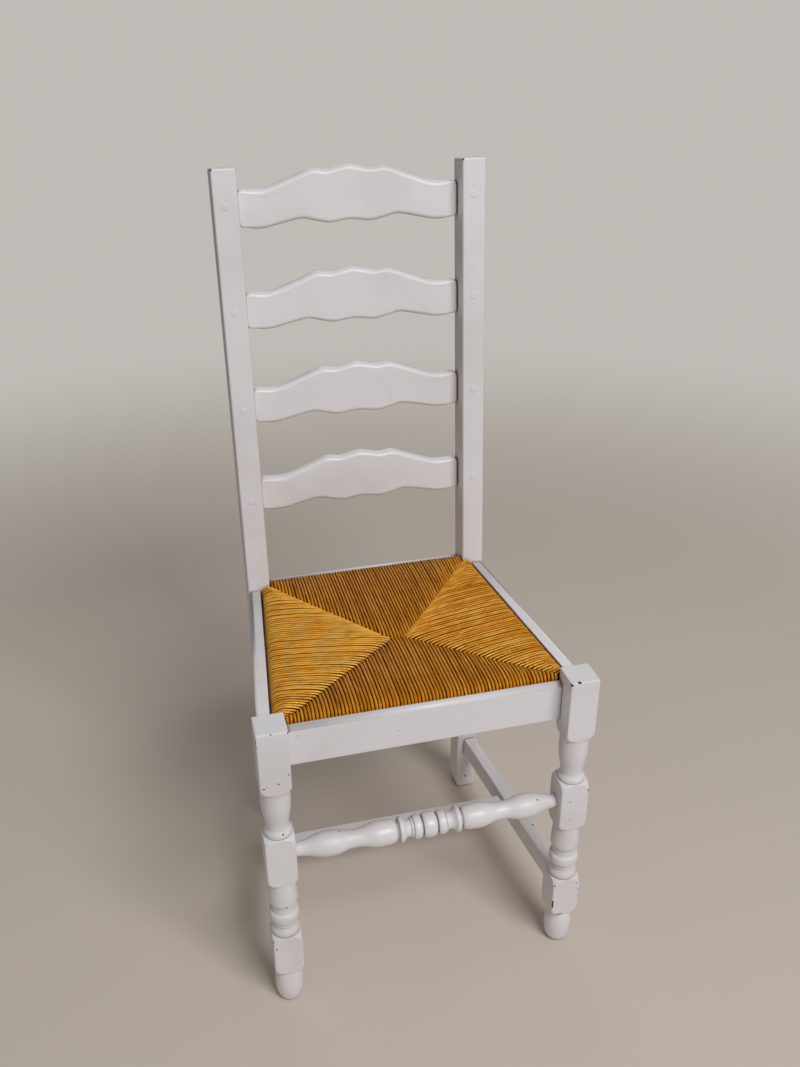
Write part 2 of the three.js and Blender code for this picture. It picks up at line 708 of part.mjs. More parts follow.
function crossStretcher() {
  const front = crossStretcherBack - crossStretcherWidth;
  const reachAt = (y) => sideX(sideStretcherLine, y) - sideStretcherWidth - clearance;
  const plan = [
    [-reachAt(front), front], [reachAt(front), front],
    [reachAt(crossStretcherBack), crossStretcherBack], [-reachAt(crossStretcherBack), crossStretcherBack],
  ];
  const bottom = crossStretcherTop - crossStretcherHeight;
  const body = solidOf(planBlock(plan, bottom, crossStretcherTop, edgeEase));
  addPiece('cross_stretcher', joined(body, [crossStretcherTenon(rectangle, crossTenonLength)]), paint);
}

// Drop-in seat: four frame bars, and rush cords that wrap them and meet in four seams

const barBottom = rushBottom + barCover;
const barTop = rushTop - barCover;
const frontCorner = { x: legInner - rushLegGap, y: legBack + rushLegBackGap };
const rearCorner = { x: postInner - rushPostGap, y: postFront - rushPostGap };
const barFrontY = rushFront + barCover;
const barRearY = rushRear - barCover;

function endBar(corner, faceY, inwards, grow) {
  const end = corner.x + (grow ? clearance : -clearance);
  const section = grow
    ? grownRectangle(0, barWidth, barBottom, barTop)
    : easedRectangle(0, barWidth, barBottom, barTop, edgeEase);
  return crossBar(section, faceY, inwards, -end, end);
}

function longBar(side, grow) {
  const section = grow
    ? grownRectangle(barCover, barCover + barWidth, barBottom, barTop)
    : easedRectangle(barCover, barCover + barWidth, barBottom, barTop, edgeEase);
  const gap = grow ? -overrun : clearance;
  return sideBar(section, rushLine, side, barFrontY + barWidth + gap, barRearY - barWidth - gap);
}

function longBarTenon(side, rectangleOf, reach) {
  const inner = barCover + barWidth - edgeEase;
  const middle = (barBottom + barTop) / 2;
  const half = barTenonHeight / 2;
  const section = rectangleOf(inner - barTenonThickness, inner, middle - half, middle + half);
  return sideBar(section, rushLine, side, barFrontY + barWidth - reach, barRearY - barWidth + reach);
}

function seatFrame() {
  const mortises = [-1, 1].map((side) => longBarTenon(side, grownRectangle, barTenonLength + clearance));
  addPiece('seat_frame_front', cut(solidOf(endBar(frontCorner, barFrontY, 1, false)), mortises), bareWood);
  addPiece('seat_frame_rear', cut(solidOf(endBar(rearCorner, barRearY, -1, false)), mortises), bareWood);
  for (const side of [-1, 1]) {
    const bar = joined(solidOf(longBar(side, false)), [longBarTenon(side, rectangle, barTenonLength)]);
    addPiece(`seat_frame_${sideName(side)}`, bar, bareWood);
  }
}

// Points that divide a line into equal cords, without its last point
function divided(from, to, count) {
  const point = (unused, index) => new THREE.Vector2().lerpVectors(from, to, index / count);
  return Array.from({ length: count }, point);
}

// Each panel as its seam path and its edge path, both running round the seat the same way
function rushPanels() {
  const ridgeY = rushFront + ridgeFromFront;
  const frontLeft = new THREE.Vector2(-frontCorner.x, frontCorner.y);
  const frontRight = new THREE.Vector2(frontCorner.x, frontCorner.y);
  const rearLeft = new THREE.Vector2(-rearCorner.x, rearCorner.y);
  const rearRight = new THREE.Vector2(rearCorner.x, rearCorner.y);
  const ridgeLeft = new THREE.Vector2(-ridgeLength / 2, ridgeY);
  const ridgeRight = new THREE.Vector2(ridgeLength / 2, ridgeY);
  const seams = {
    frontLeft: [...divided(frontLeft, ridgeLeft, frontCords), ridgeLeft],
    frontRight: [...divided(frontRight, ridgeRight, frontCords), ridgeRight],
    rearLeft: [...divided(rearLeft, ridgeLeft, rearCords), ridgeLeft],
    rearRight: [...divided(rearRight, ridgeRight, rearCords), ridgeRight],
    ridge: [...divided(ridgeLeft, ridgeRight, ridgeCords), ridgeRight],
  };
  const backwards = (points) => points.slice().reverse();
  const chain = (...paths) => paths.flatMap((points, index) => (index ? points.slice(1) : points));
  const edge = (x0, y0, x1, y1, count) => {
    const last = new THREE.Vector2(x1, y1);
    return [...divided(new THREE.Vector2(x0, y0), last, count), last];
  };
  const frontSide = sideX(rushLine, frontCorner.y);
  const rearSide = sideX(rushLine, rearCorner.y);
  const sideCords = frontCords + rearCords;
  return [
    {
      seam: chain(seams.frontLeft, seams.ridge, backwards(seams.frontRight)),
      edge: edge(-frontCorner.x, rushFront, frontCorner.x, rushFront, 2 * frontCords + ridgeCords),
    },
    {
      seam: chain(seams.frontRight, backwards(seams.rearRight)),
      edge: edge(frontSide, frontCorner.y, rearSide, rearCorner.y, sideCords),
    },
    {
      seam: chain(seams.rearRight, backwards(seams.ridge), backwards(seams.rearLeft)),
      edge: edge(rearCorner.x, rushRear, -rearCorner.x, rushRear, 2 * rearCords + ridgeCords),
    },
    {
      seam: chain(seams.rearLeft, backwards(seams.frontLeft)),
      edge: edge(-rearSide, rearCorner.y, -frontSide, frontCorner.y, sideCords),
    },
  ];
}

// One column of a panel: from the seam over the rolled edge and back to the seam underneath
function rushColumn(seamPoint, edgePoint, groove) {
  const inwards = new THREE.Vector2().subVectors(seamPoint, edgePoint);
  const length = inwards.length();
  const shoulderShare = Math.min(rushShoulder / length, shortCordShoulder);
  const shoulder = edgePoint.clone().addScaledVector(inwards, shoulderShare);
  const side = edgePoint.clone().addScaledVector(inwards, Math.min(groove / length, shortCordGroove));
  return [
    [seamPoint.x, seamPoint.y, rushTop - seamDip - groove / 2],
    [shoulder.x, shoulder.y, rushTop - groove],
    [side.x, side.y, rushTop - rushRoll],
    [side.x, side.y, rushBottom + groove],
    [seamPoint.x, seamPoint.y, rushBottom + groove / 2],
  ];
}

// Columns across a panel: a groove, then a crown, for each cord
function rushColumns(panel) {
  const columns = [];
  const cords = panel.seam.length - 1;
  for (let cord = 0; cord < cords; cord += 1) {
    for (const [share, groove] of [[0, cordRidge], [0.5, 0]]) {
      const seamPoint = new THREE.Vector2().lerpVectors(panel.seam[cord], panel.seam[cord + 1], share);
      const edgePoint = new THREE.Vector2().lerpVectors(panel.edge[cord], panel.edge[cord + 1], share);
      columns.push(rushColumn(seamPoint, edgePoint, groove));
    }
  }
  columns.push(rushColumn(panel.seam[cords], panel.edge[cords], cordRidge));
  return columns;
}

function rushSeat() {
  const positions = [];
  const triangles = (...corners) => corners.forEach((corner) => positions.push(...corner));
  for (const panel of rushPanels()) {
    const columns = rushColumns(panel);
    for (let column = 0; column < columns.length - 1; column += 1) {
      const here = columns[column];
      const next = columns[column + 1];
      for (let row = 0; row < here.length - 1; row += 1) {
        triangles(here[row], here[row + 1], next[row]);
        triangles(next[row], here[row + 1], next[row + 1]);
      }
    }
    const first = columns[0];
    const last = columns[columns.length - 1];
    for (let row = 1; row < first.length - 1; row += 1) {
      triangles(first[0], first[row + 1], first[row]);
      triangles(last[0], last[row], last[row + 1]);
    }
  }
  const geometry = new THREE.BufferGeometry();
  geometry.setAttribute('position', new THREE.BufferAttribute(new Float32Array(positions), 3));
  const cavities = [
    endBar(frontCorner, barFrontY, 1, true),
    endBar(rearCorner, barRearY, -1, true),
    longBar(-1, true),
    longBar(1, true),
  ];
  addPiece('rush_seat', cut(solidOf(geometry), cavities), rush);
}

// Assembly
for (const side of [-1, 1]) {
  frontLeg(side);
  rearPost(side);
}
seatRails();
for (let index = 0; index < slatCount; index += 1) {
  backSlat(index);
  slatPegs(index);
}
frontStretcher();
sideStretchers();
crossStretcher();
seatFrame();
rushSeat();

export default chair;
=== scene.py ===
import bmesh
import bpy
import math
import random
from mathutils import Matrix, Vector


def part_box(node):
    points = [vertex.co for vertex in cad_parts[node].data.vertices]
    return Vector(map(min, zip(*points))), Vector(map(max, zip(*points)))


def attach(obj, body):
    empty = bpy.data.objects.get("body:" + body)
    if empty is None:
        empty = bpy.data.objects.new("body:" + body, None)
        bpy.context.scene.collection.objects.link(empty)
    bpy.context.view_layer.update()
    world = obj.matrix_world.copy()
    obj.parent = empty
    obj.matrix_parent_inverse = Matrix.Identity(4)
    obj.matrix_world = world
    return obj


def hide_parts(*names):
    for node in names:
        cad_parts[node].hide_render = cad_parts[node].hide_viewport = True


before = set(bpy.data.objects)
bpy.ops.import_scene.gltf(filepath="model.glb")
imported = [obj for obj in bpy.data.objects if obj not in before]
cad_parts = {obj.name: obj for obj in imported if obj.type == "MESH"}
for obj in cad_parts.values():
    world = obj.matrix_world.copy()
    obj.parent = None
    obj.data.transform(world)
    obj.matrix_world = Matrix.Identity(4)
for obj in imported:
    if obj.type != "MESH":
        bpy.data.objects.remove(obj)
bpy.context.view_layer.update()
mm = 0.001
body = "root"


# Camera, worked out from the photograph's edges
photoCamera = {
    "imageHeight": 1067,
    "focal": 1031.81,  # in pixels
    "sensor": 36,
    "place": (-0.28757, -1.17367, 1.23013),
    "yaw": 0.25195,
    "pitch": 0.48794,
    "roll": -0.00482,
}


def addCamera(values):
    yaw, pitch, roll = values["yaw"], values["pitch"], values["roll"]
    ahead = Vector((math.sin(yaw) * math.cos(pitch), math.cos(yaw) * math.cos(pitch), -math.sin(pitch)))
    level = Vector((math.cos(yaw), -math.sin(yaw), 0))
    above = level.cross(ahead)
    right = math.cos(roll) * level + math.sin(roll) * above
    up = math.cos(roll) * above - math.sin(roll) * level
    data = bpy.data.cameras.new("photoCamera")
    data.sensor_width = values["sensor"]
    data.lens = values["sensor"] * values["focal"] / values["imageHeight"]
    camera = bpy.data.objects.new("photoCamera", data)
    turned = Matrix((right, up, -ahead)).transposed().to_4x4()
    camera.matrix_world = Matrix.Translation(values["place"]) @ turned
    bpy.context.scene.collection.objects.link(camera)
    bpy.context.scene.camera = camera


# Shader helpers
def addNode(tree, kind, inputs=None, **settings):
    node = tree.nodes.new("ShaderNode" + kind)
    for key, value in settings.items():
        setattr(node, key, value)
    for key, value in (inputs or {}).items():
        if isinstance(value, bpy.types.NodeSocket):
            tree.links.new(value, node.inputs[key])
        else:
            node.inputs[key].default_value = value
    return node


def colour(rgb):
    return (*rgb, 1)


def mixColour(tree, factor, first, second):
    # a mix node takes its colours at sockets 6 and 7 and gives the mixed one at 2
    return addNode(tree, "Mix", {0: factor, 6: first, 7: second}, data_type="RGBA").outputs[2]


def maths(tree, operation, first, second=0.0, third=0.0):
    return addNode(tree, "Math", {0: first, 1: second, 2: third}, operation=operation).outputs[0]


def vectorMaths(tree, operation, first, second):
    return addNode(tree, "VectorMath", {0: first, 1: second}, operation=operation).outputs[0]


def lengthOf(tree, vector):
    return addNode(tree, "VectorMath", {0: vector}, operation="LENGTH").outputs["Value"]


def ownPlace(tree):
    return addNode(tree, "TexCoord").outputs["Object"]


def stretched(tree, vector, scale):
    return addNode(tree, "Mapping", {"Vector": vector, "Scale": scale}).outputs[0]


def ease(tree, value, start, end, low=0.0, high=1.0):
    inputs = {"Value": value, "From Min": start, "From Max": end, "To Min": low, "To Max": high}
    return addNode(tree, "MapRange", inputs, interpolation_type="SMOOTHSTEP").outputs[0]


def noiseField(tree, vector, scale, detail, rough):
    inputs = {"Vector": vector, "Scale": scale, "Detail": detail, "Roughness": rough}
    return addNode(tree, "TexNoise", inputs).outputs["Fac"]


def startMaterial(name):
    material = bpy.data.materials.new(name)
    material.use_nodes = True
    return material, material.node_tree, material.node_tree.nodes["Principled BSDF"]


# White paint over dark wood; a noise is given as scale, detail and roughness
paint = {
    "white": (0.80, 0.775, 0.795),
    "shade": (0.73, 0.695, 0.70),
    "thin": (0.60, 0.52, 0.44),  # along worn edges
    "grimeAndShade": (0.34, 0.25, 0.165),  # grime and painted shade, brown in creases where occlusion falls
    "wood": (0.050, 0.022, 0.010),
    "roughness": (0.30, 0.44),
    "woodRoughness": 0.75,
    "grain": (150, 4, 0.6),
    "grainStretch": 0.035,
    "grainBump": {"Strength": 0.10, "Distance": 0.0005},
    "clouds": (9.0, 4, 0.6),
    "shadeRange": (0.40, 0.75),
    "thinRange": (0.35, 0.65),
    "thinStrength": (0.05, 0.35),
    "glossRange": (0.3, 0.7),
    "edgeReach": 0.0035,
    "edgeRange": (0.72, 0.42),
    "creaseReach": 0.008,
    "creaseRange": (0.74, 0.28),
    "creaseStrength": 0.85,
    "scratchStrength": 0.6,
    "occlusionSamples": 4,
}

# Lost paint: flakes along worn edges, rare specks, and the chips below
paintLoss = {
    "wornPlaces": (16.0, 2, 0.5),
    "wornRange": (0.50, 0.58),
    "flakes": (190.0, 3, 0.6),
    "flakeRange": (0.61, 0.65),
    "speckScale": 85.0,
    "speckRadius": 0.045,
    "speckRarity": 0.95,
    "wobble": 0.0016,  # raggedness of a chip's outline
    "wobbleScale": 520.0,
    "wobbleDetail": 2.0,
    "chipDepth": 1.5,  # the least reach from front to back, in millimetres
    "chipRange": (1.05, 0.85),
    "bump": {"Strength": 0.7, "Distance": 0.0003},
}

# Chips as place, width and height in millimetres
paintMarks = {
    "legLeft": (
        (-216, -217, 456, 2.0, 2.6), (-216, -218, 449, 1.4, 1.6), (-198, -219, 464, 1.1, 1.0),
        (-177, -219, 463, 1.8, 1.6), (-211, -219, 385, 2.2, 0.9), (-207, -219, 387, 1.0, 0.7),
        (-193, -219, 389, 1.3, 0.9), (-180, -219, 401, 0.9, 1.4), (-192, -216, 305, 1.2, 1.2),
        (-195, -219, 182, 1.4, 1.2), (-212, -219, 110, 1.2, 1.2), (-215, -216, 121, 1.5, 2.0),
        (-216, -214, 111, 1.2, 4.0), (-191, -218, 129, 0.8, 0.7),
    ),
    "legRight": (
        (178, -218, 463, 2.4, 1.8), (188, -218, 465, 2.6, 1.4), (215, -219, 286, 1.4, 1.8),
        (190, -219, 271, 0.9, 0.9), (192, -219, 238, 1.0, 0.8), (198, -217, 199, 1.0, 1.2),
        (179, -219, 119, 1.4, 1.3), (211, -219, 117, 1.2, 1.0), (178, -219, 84, 1.3, 8.0),
        (187, -219, 62, 7.0, 0.9), (214, -218, 104, 1.5, 2.2), (214, -218, 92, 1.3, 1.4),
    ),
    "postLeft": ((-180, 180, 1030, 2.4, 2.2), (-178, 134, 300, 1.2, 1.8)),
    "postRight": ((148, 180, 1030, 2.2, 2.0), (163, 134, 24, 1.6, 2.2)),
    "frontRail": (
        (-39, -193, 418, 0.8, 0.8), (-163, -193, 435, 0.7, 0.7), (-151, -193, 430, 0.5, 0.5),
    ),
    "frontStretcher": ((148, -207, 274, 1.2, 1.2), (-118, -198, 276, 1.1, 1.0)),
    "sideStretcherRight": ((198, -85, 105, 1.6, 1.6), (199, 40, 105, 1.2, 1.2)),
}

# Scratches that do not reach the wood, given in the same way
scratches = {
    "legLeft": (
        (-199, -217, 44, 6.0, 0.5), (-194, -217, 46, 4.0, 0.4), (-207, -219, 460, 4.0, 0.4),
        (-200, -219, 458, 3.0, 0.3), (-210, -219, 384, 4.0, 0.5),
    ),
    "topSlat": ((-112, 200, 991, 7.0, 0.5), (-104, 200, 993, 5.0, 0.4), (-97, 201, 995, 4.0, 0.5)),
    "frontRail": ((24, -193, 403, 0.4, 6.0), (60, -193, 425, 9.0, 0.3)),
}


def markField(tree, place, marks):
    field = None
    for x, y, z, wide, tall in marks:
        centre = (x * mm, y * mm, z * mm)
        size = (wide * mm, max(wide, paintLoss["chipDepth"]) * mm, tall * mm)
        away = vectorMaths(tree, "SUBTRACT", place, centre)
        reach = lengthOf(tree, vectorMaths(tree, "DIVIDE", away, size))
        field = reach if field is None else maths(tree, "MINIMUM", field, reach)
    return ease(tree, field, *paintLoss["chipRange"])


def ragged(tree, place):
    inputs = {"Vector": place, "Scale": paintLoss["wobbleScale"], "Detail": paintLoss["wobbleDetail"]}
    noise = addNode(tree, "TexNoise", inputs).outputs["Color"]
    inputs = {0: vectorMaths(tree, "SUBTRACT", noise, (0.5, 0.5, 0.5)), "Scale": paintLoss["wobble"]}
    shift = addNode(tree, "VectorMath", inputs, operation="SCALE").outputs[0]
    return vectorMaths(tree, "ADD", place, shift)


def bareSpots(tree, place, edge, marks):
    # paint lost at edges, as small specks, and at the marks seen on this piece
    chance = ease(tree, noiseField(tree, place, *paintLoss["wornPlaces"]), *paintLoss["wornRange"])
    flakes = ease(tree, noiseField(tree, place, *paintLoss["flakes"]), *paintLoss["flakeRange"])
    worn = maths(tree, "MULTIPLY", maths(tree, "MULTIPLY", edge, chance), flakes)
    cells = addNode(tree, "TexVoronoi", {"Vector": place, "Scale": paintLoss["speckScale"]})
    pick = addNode(tree, "SeparateColor", {0: cells.outputs["Color"]}).outputs[0]
    rare = maths(tree, "GREATER_THAN", pick, paintLoss["speckRarity"])
    specks = maths(tree, "LESS_THAN", cells.outputs["Distance"], paintLoss["speckRadius"])
    spots = maths(tree, "MAXIMUM", worn, maths(tree, "MULTIPLY", specks, rare))
    if marks:
        spots = maths(tree, "MAXIMUM", spots, markField(tree, ragged(tree, place), marks))
    return spots


def paintFinish(name, along, marks=(), lines=()):
    material, tree, shader = startMaterial(name)
    place = ownPlace(tree)
    stretch = [paint["grainStretch"] if axis == along else 1.0 for axis in "xyz"]
    grain = noiseField(tree, stretched(tree, place, stretch), *paint["grain"])
    clouds = noiseField(tree, place, *paint["clouds"])
    samples = paint["occlusionSamples"]
    reach = {"Distance": paint["edgeReach"]}
    inner = addNode(tree, "AmbientOcclusion", reach, samples=samples, inside=True, only_local=True)
    edge = ease(tree, inner.outputs["AO"], *paint["edgeRange"])
    outer = addNode(tree, "AmbientOcclusion", {"Distance": paint["creaseReach"]}, samples=samples)
    crease = ease(tree, outer.outputs["AO"], *paint["creaseRange"])
    shaded = ease(tree, clouds, *paint["shadeRange"])
    tone = mixColour(tree, shaded, colour(paint["white"]), colour(paint["shade"]))
    thinned = maths(tree, "MULTIPLY", edge, ease(tree, clouds, *paint["thinRange"], *paint["thinStrength"]))
    tone = mixColour(tree, thinned, tone, colour(paint["thin"]))
    # painted shade with grime: the paint browns wherever nearby surfaces occlude it within the crease reach
    creaseGrimeAndShade = maths(tree, "MULTIPLY", crease, paint["creaseStrength"])
    tone = mixColour(tree, creaseGrimeAndShade, tone, colour(paint["grimeAndShade"]))
    if lines:
        scored = markField(tree, ragged(tree, place), lines)
        scored = maths(tree, "MULTIPLY", scored, paint["scratchStrength"])
        tone = mixColour(tree, scored, tone, colour(paint["thin"]))
    spots = bareSpots(tree, place, edge, marks)
    tree.links.new(mixColour(tree, spots, tone, colour(paint["wood"])), shader.inputs["Base Color"])
    gloss = ease(tree, clouds, *paint["glossRange"], *paint["roughness"])
    rough = ease(tree, spots, 0.0, 1.0, gloss, paint["woodRoughness"])
    tree.links.new(rough, shader.inputs["Roughness"])
    brushed = addNode(tree, "Bump", {"Height": grain, **paint["grainBump"]}).outputs[0]
    whole = maths(tree, "SUBTRACT", 1.0, spots)
    chipped = addNode(tree, "Bump", {"Height": whole, "Normal": brushed, **paintLoss["bump"]})
    tree.links.new(chipped.outputs[0], shader.inputs["Normal"])
    return material


# Sawn wood of the hidden seat frame
bareWood = {
    "light": (0.42, 0.24, 0.10),
    "dark": (0.20, 0.10, 0.04),
    "rings": (60, 5, 0.65),
    "ringStretch": (0.1, 1.0, 1.0),
    "ringRange": (0.3, 0.7),
    "roughness": 0.75,
}


def woodFinish():
    material, tree, shader = startMaterial("bareWood")
    lined = stretched(tree, ownPlace(tree), bareWood["ringStretch"])
    rings = ease(tree, noiseField(tree, lined, *bareWood["rings"]), *bareWood["ringRange"])
    tone = mixColour(tree, rings, colour(bareWood["light"]), colour(bareWood["dark"]))
    tree.links.new(tone, shader.inputs["Base Color"])
    shader.inputs["Roughness"].default_value = bareWood["roughness"]
    return material


# Twisted rush
rush = {
    # painted shade with some dirt: each cord's flanks darken to these colours towards the grooves between
    # cords
    "groove": (0.066, 0.017, 0.0),
    "sideGrooveShade": (0.075, 0.022, 0.001),
    "dark": (0.25, 0.078, 0.003),
    "amber": (0.68, 0.238, 0.006),
    "straw": (0.95, 0.51, 0.09),
    "amberRange": (0.36, 0.51),
    "strawRange": (0.50, 0.67),
    "grooveShadeRange": (0.09, 0.21),  # painted shade and dirt, in turns, away from the cord's crown
    "grooveShadeStrength": 0.95,
    "sideRange": (0.70, 0.72),  # only cords at the two sides, lightened by painted light, reach past this
    "roughness": (0.10, 0.25),
    "glossRange": (0.3, 0.7),
    "specular": (1.0, 0.0),  # on a cord's crown and down in the groove
    "tint": (1.0, 0.64, 0.17),
    "twist": 11.0,  # turns of the fibres per metre
    "fibre": (8.0, 30.0, 0.55),  # scale across and along the cord, and roughness
    "strand": (26.0, 130.0, 0.6),
    "streakDetail": 3,
    "apart": 40.0,  # keeps the fibres of two cords from looking alike
    "clouds": (14.0, 3, 0.5),
    "shares": {"fibre": 0.45, "strand": 0.25, "clouds": 0.12, "tone": 0.18},
    "strandRelief": 0.5,
    "bump": {"Strength": 0.45, "Distance": 0.0007},
}


def rushFinish():
    material, tree, shader = startMaterial("wovenRush")
    around = addNode(tree, "UVMap", uv_map="cord").outputs[0]
    turn, along = addNode(tree, "SeparateXYZ", {0: around}).outputs[:2]
    # the tone holds each cord's random tone plus the painted light added to the two side panels
    tone = addNode(tree, "Attribute", attribute_name="cordToneAndLight").outputs["Fac"]
    twisted = maths(tree, "ADD", turn, maths(tree, "MULTIPLY", along, rush["twist"]))

    def streaks(acrossScale, alongScale, rough):
        across = maths(tree, "MULTIPLY", twisted, acrossScale)
        length = maths(tree, "MULTIPLY", along, alongScale)
        apart = maths(tree, "MULTIPLY", tone, rush["apart"])
        spread = addNode(tree, "CombineXYZ", {0: across, 1: length, 2: apart}).outputs[0]
        return noiseField(tree, spread, 1.0, rush["streakDetail"], rough)

    fibres = streaks(*rush["fibre"])
    strands = streaks(*rush["strand"])
    clouds = noiseField(tree, ownPlace(tree), *rush["clouds"])
    shares = rush["shares"]
    level = maths(tree, "MULTIPLY", fibres, shares["fibre"])
    for part, key in ((strands, "strand"), (clouds, "clouds"), (tone, "tone")):
        level = maths(tree, "MULTIPLY_ADD", part, shares[key], level)
    amber = ease(tree, level, *rush["amberRange"])
    straw = ease(tree, level, *rush["strawRange"])
    full = mixColour(tree, amber, colour(rush["dark"]), colour(rush["amber"]))
    full = mixColour(tree, straw, full, colour(rush["straw"]))
    flank = maths(tree, "ABSOLUTE", maths(tree, "SUBTRACT", turn, 0.5))  # the crown is half way round
    onSide = ease(tree, tone, *rush["sideRange"])
    shade = mixColour(tree, onSide, colour(rush["groove"]), colour(rush["sideGrooveShade"]))
    # painted shade and dirt darken each cord's flanks towards the grooves, a little less on the two sides
    groove = ease(tree, flank, *rush["grooveShadeRange"], 0.0, rush["grooveShadeStrength"])
    tree.links.new(mixColour(tree, groove, full, shade), shader.inputs["Base Color"])
    rough = ease(tree, fibres, *rush["glossRange"], *rush["roughness"])
    tree.links.new(rough, shader.inputs["Roughness"])
    shine = ease(tree, flank, *rush["grooveShadeRange"], *rush["specular"])
    tree.links.new(shine, shader.inputs["Specular IOR Level"])
    shader.inputs["Specular Tint"].default_value = colour(rush["tint"])
    height = maths(tree, "MULTIPLY_ADD", strands, rush["strandRelief"], fibres)
    bump = addNode(tree, "Bump", {"Height": height, **rush["bump"]})
    tree.links.new(bump.outputs[0], shader.inputs["Normal"])
    return material


# Shape helpers
mergeDistance = 1e-6
touching = 1e-5
boxSegments = 3
sharpAngle = math.radians(42)


def alongPath(start, moves, curveStep, lineStep):
    # each move lists the points that follow: one for a line, two or three for a curve's controls and end
    points = [Vector(start)]
    for move in moves:
        corners = [points[-1]] + [Vector(point) for point in move]
        length = sum((b - a).length for a, b in zip(corners, corners[1:]))
        count = max(1, round(length / (lineStep if len(move) == 1 else curveStep)))
        points += [curvePoint(corners, index / count) for index in range(1, count + 1)]
    return points


def curvePoint(corners, share):
    while len(corners) > 1:
        corners = [a.lerp(b, share) for a, b in zip(corners, corners[1:])]
    return corners[0]


def chainOf(bm, points):
    verts = [bm.verts.new(point) for point in points]
    edges = [bm.edges.new(pair) for pair in zip(verts, verts[1:])]
    return verts + edges


def spunFrom(points, axis, columns):
    bm = bmesh.new()
    chain = chainOf(bm, points)
    bmesh.ops.spin(bm, geom=chain, axis=axis, angle=math.tau, steps=columns, use_merge=True)
    bmesh.ops.remove_doubles(bm, verts=bm.verts, dist=mergeDistance)
    return bm


def softMin(a, b, width):
    overlap = max(width - abs(a - b), 0) / width
    return min(a, b) - overlap * overlap * width / 4


def extruded(points, shift):
    bm = bmesh.new()
    face = bm.faces.new([bm.verts.new(point) for point in points])
    grown = bmesh.ops.extrude_face_region(bm, geom=[face], use_keep_orig=True)
    moved = [item for item in grown["geom"] if isinstance(item, bmesh.types.BMVert)]
    bmesh.ops.translate(bm, verts=moved, vec=shift)
    bmesh.ops.recalc_face_normals(bm, faces=bm.faces)
    return bm


def rounded(bm, edges, radius, segments):
    bmesh.ops.bevel(bm, geom=edges, offset=radius, offset_type="OFFSET", affect="EDGES",
                    segments=segments, profile=0.5, material=-1, clamp_overlap=True)


def roundedBox(low, high, radius):
    bm = bmesh.new()
    bmesh.ops.create_cube(bm, size=1)
    bmesh.ops.scale(bm, verts=bm.verts, vec=high - low)
    bmesh.ops.translate(bm, verts=bm.verts, vec=(low + high) / 2)
    rounded(bm, bm.edges[:], radius, boxSegments)
    return bm


def addPiece(name, bm, material, slot, *nodes, flat=True):
    bmesh.ops.remove_doubles(bm, verts=bm.verts, dist=mergeDistance)
    bmesh.ops.recalc_face_normals(bm, faces=bm.faces)
    for face in bm.faces:
        face.smooth = True
    for edge in bm.edges:
        if edge.is_manifold and edge.calc_face_angle() > sharpAngle:
            edge.smooth = False
    mesh = bpy.data.meshes.new(name)
    bm.to_mesh(mesh)
    bm.free()
    mesh.materials.append(material)
    piece = bpy.data.objects.new(name, mesh)
    bpy.context.scene.collection.objects.link(piece)
    if flat:  # keeps broad faces flat beside their rounded edges
        piece.modifiers.new("faces", "WEIGHTED_NORMAL")
    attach(piece, body)
    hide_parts(*nodes)
    return piece


sides = {"left": -1, "right": 1}
titles = {"left": "Left", "right": "Right"}


# Front legs: a turned profile held inside a square
frontLeg = {
    "blocks": ((61, 127), (221, 298)),
    "upperBlock": 372,
    "shoulder": 14,  # a block's turned shoulder, down its corners
    "shoulderEnd": 17,
    "cornerRadius": 26.84,
    "topEase": 1.6,
    "softness": 0.6,
    "topSteps": (0.7, 0.45, 0.25, 0.1, 0),  # rings round the eased top edge
    "curveStep": 1.3,
    "lineStep": 7,
    "columns": 96,
    "crowding": 1.35,  # draws the columns towards the corners
    "foot": (
        ((10, 0),),
        ((17.2, 0), (19.2, 16.5), (19.2, 27.5)),
        ((19.2, 46), (15, 49), (15, 59)),
    ),
    "lowerTurning": (  # radius, and height above the lower block
        ((19.3, 0), (19.3, 4)),  # bell
        ((19.3, 10.5), (16.4, 9), (16.4, 16.6)),
        ((16.0, 17.0),),
        ((18.1, 17.2), (18.1, 18.9)),  # thin ring
        ((18.1, 20.8), (16.6, 21.0)),
        ((15.9, 21.5),),
        ((20.2, 21.6), (20.2, 29.5)),  # bead
        ((20.2, 37.4), (17.4, 38)),
        ((16.6, 38.4),),
        ((15.8, 40.5), (15.7, 51)),
        ((19.2, 51.2), (19.4, 58)),  # vase
        ((19.2, 68), (18.0, 84), (17.2, 93)),
    ),
    "upperTurning": (  # radius, and height above the middle block
        ((17.8, 0), (17.8, 3)),  # collar
        ((17.8, 8), (14.8, 8), (14.8, 13)),
        ((14.8, 26), (19.1, 32.5), (19.1, 52)),  # vase
        ((19.1, 73),),
    ),
}


def legProfile(half, height):
    corner = frontLeg["cornerRadius"]
    shoulder = frontLeg["shoulder"]
    shoulderEnd = frontLeg["shoulderEnd"]
    low, middle = frontLeg["blocks"]
    high = frontLeg["upperBlock"]
    topEase = frontLeg["topEase"]

    def intoBlock(z):
        return [[(half, z)], [(corner, z), (corner, z + shoulder)]]

    def outOfBlock(z):
        return [[(corner, z - shoulder)], [(corner, z), (shoulderEnd, z)]]

    def raised(moves, z):
        return [[(radius, rise + z) for radius, rise in move] for move in moves]

    return [
        *raised(frontLeg["foot"], 0),
        *intoBlock(low[0]),
        *outOfBlock(low[1]),
        *raised(frontLeg["lowerTurning"], low[1]),
        *intoBlock(middle[0]),
        *outOfBlock(middle[1]),
        *raised(frontLeg["upperTurning"], middle[1]),
        *intoBlock(high),
        [(corner, height - topEase)],
        *[[(corner, height - topEase * share)] for share in frontLeg["topSteps"]],
        [(half / 2, height)],
        [(0, height)],
    ]


